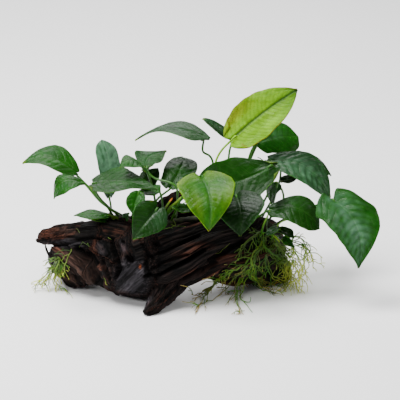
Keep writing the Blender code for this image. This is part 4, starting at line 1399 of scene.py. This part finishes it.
class OBJECT_OT_anubias_stage(bpy.types.Operator):
    """Sets the floor, the soft lights and the camera"""
    bl_idname = "object.anubias_stage"
    bl_label = "Stage"

    def execute(self, context):
        scene = context.scene
        floor_mesh = bmesh.new()
        bmesh.ops.create_grid(floor_mesh, x_segments=1, y_segments=1, size=30)
        data = bpy.data.meshes.new("floor")
        floor_mesh.to_mesh(data)
        floor_mesh.free()
        floor = bpy.data.objects.new("floor", data)
        material, _, shader = new_material("Pale matt board", 0.9, 1.4)
        shader.inputs["Base Color"].default_value = (0.93, 0.93, 0.93, 1)
        data.materials.append(material)
        scene.collection.objects.link(floor)
        floor.location.z = -0.0005
        world = bpy.data.worlds.new("Soft room")
        world.use_nodes = True
        world.node_tree.nodes["Background"].inputs["Color"].default_value = (1, 1, 1, 1)
        world.node_tree.nodes["Background"].inputs["Strength"].default_value = 0.22
        scene.world = world
        for name, place, width, power in SOFT_LAMPS:
            light = bpy.data.lights.new(name, "AREA")
            light.shape = "SQUARE"
            light.size = width
            light.energy = power
            lamp = bpy.data.objects.new(name, light)
            lamp.location = place
            lamp.rotation_mode = "QUATERNION"
            lamp.rotation_quaternion = (LAMPS_AIM - Vector(place)).to_track_quat("-Z", "Y")
            scene.collection.objects.link(lamp)
        shot = bpy.data.cameras.new("camera")
        shot.lens = 360
        shot.sensor_width = 36
        shot.clip_start, shot.clip_end = 0.1, 100
        camera = bpy.data.objects.new("camera", shot)
        aim = (seen(0, AIM_UP, 0) + SHIFT) * MM
        camera.location = aim - VIEW_LINE * (SHOT_WIDTH * shot.lens / shot.sensor_width)
        camera.rotation_mode = "QUATERNION"
        camera.rotation_quaternion = VIEW_LINE.to_track_quat("-Z", "Y")
        scene.collection.objects.link(camera)
        scene.camera = camera
        return {"FINISHED"}


OPERATORS = (
    OBJECT_OT_anubias_driftwood,
    OBJECT_OT_anubias_rhizomes,
    OBJECT_OT_anubias_petioles,
    OBJECT_OT_anubias_blades,
    OBJECT_OT_anubias_roots,
    OBJECT_OT_anubias_stage,
)


class VIEW3D_PT_anubias(bpy.types.Panel):
    """Lists the steps and the settings"""
    bl_label = "Anubias"
    bl_space_type = "VIEW_3D"
    bl_region_type = "UI"
    bl_category = "Anubias"

    def draw(self, context):
        for operator in OPERATORS:
            self.layout.operator(operator.bl_idname)
        for group in (context.scene.anubias_sizes, context.scene.anubias_colours):
            for key in group.__annotations__:
                self.layout.prop(group, key)


CLASSES = (AnubiasSizes, AnubiasColours, *OPERATORS, VIEW3D_PT_anubias)


def register():
    for made in CLASSES:
        bpy.utils.register_class(made)
    bpy.types.Scene.anubias_sizes = PointerProperty(type=AnubiasSizes)
    bpy.types.Scene.anubias_colours = PointerProperty(type=AnubiasColours)


def unregister():
    del bpy.types.Scene.anubias_sizes
    del bpy.types.Scene.anubias_colours
    for made in reversed(CLASSES):
        bpy.utils.unregister_class(made)


def main():
    register()
    for step in ("driftwood", "rhizomes", "petioles", "blades", "roots", "stage"):
        getattr(bpy.ops.object, "anubias_" + step)()


if __name__ == "__main__":
    main()
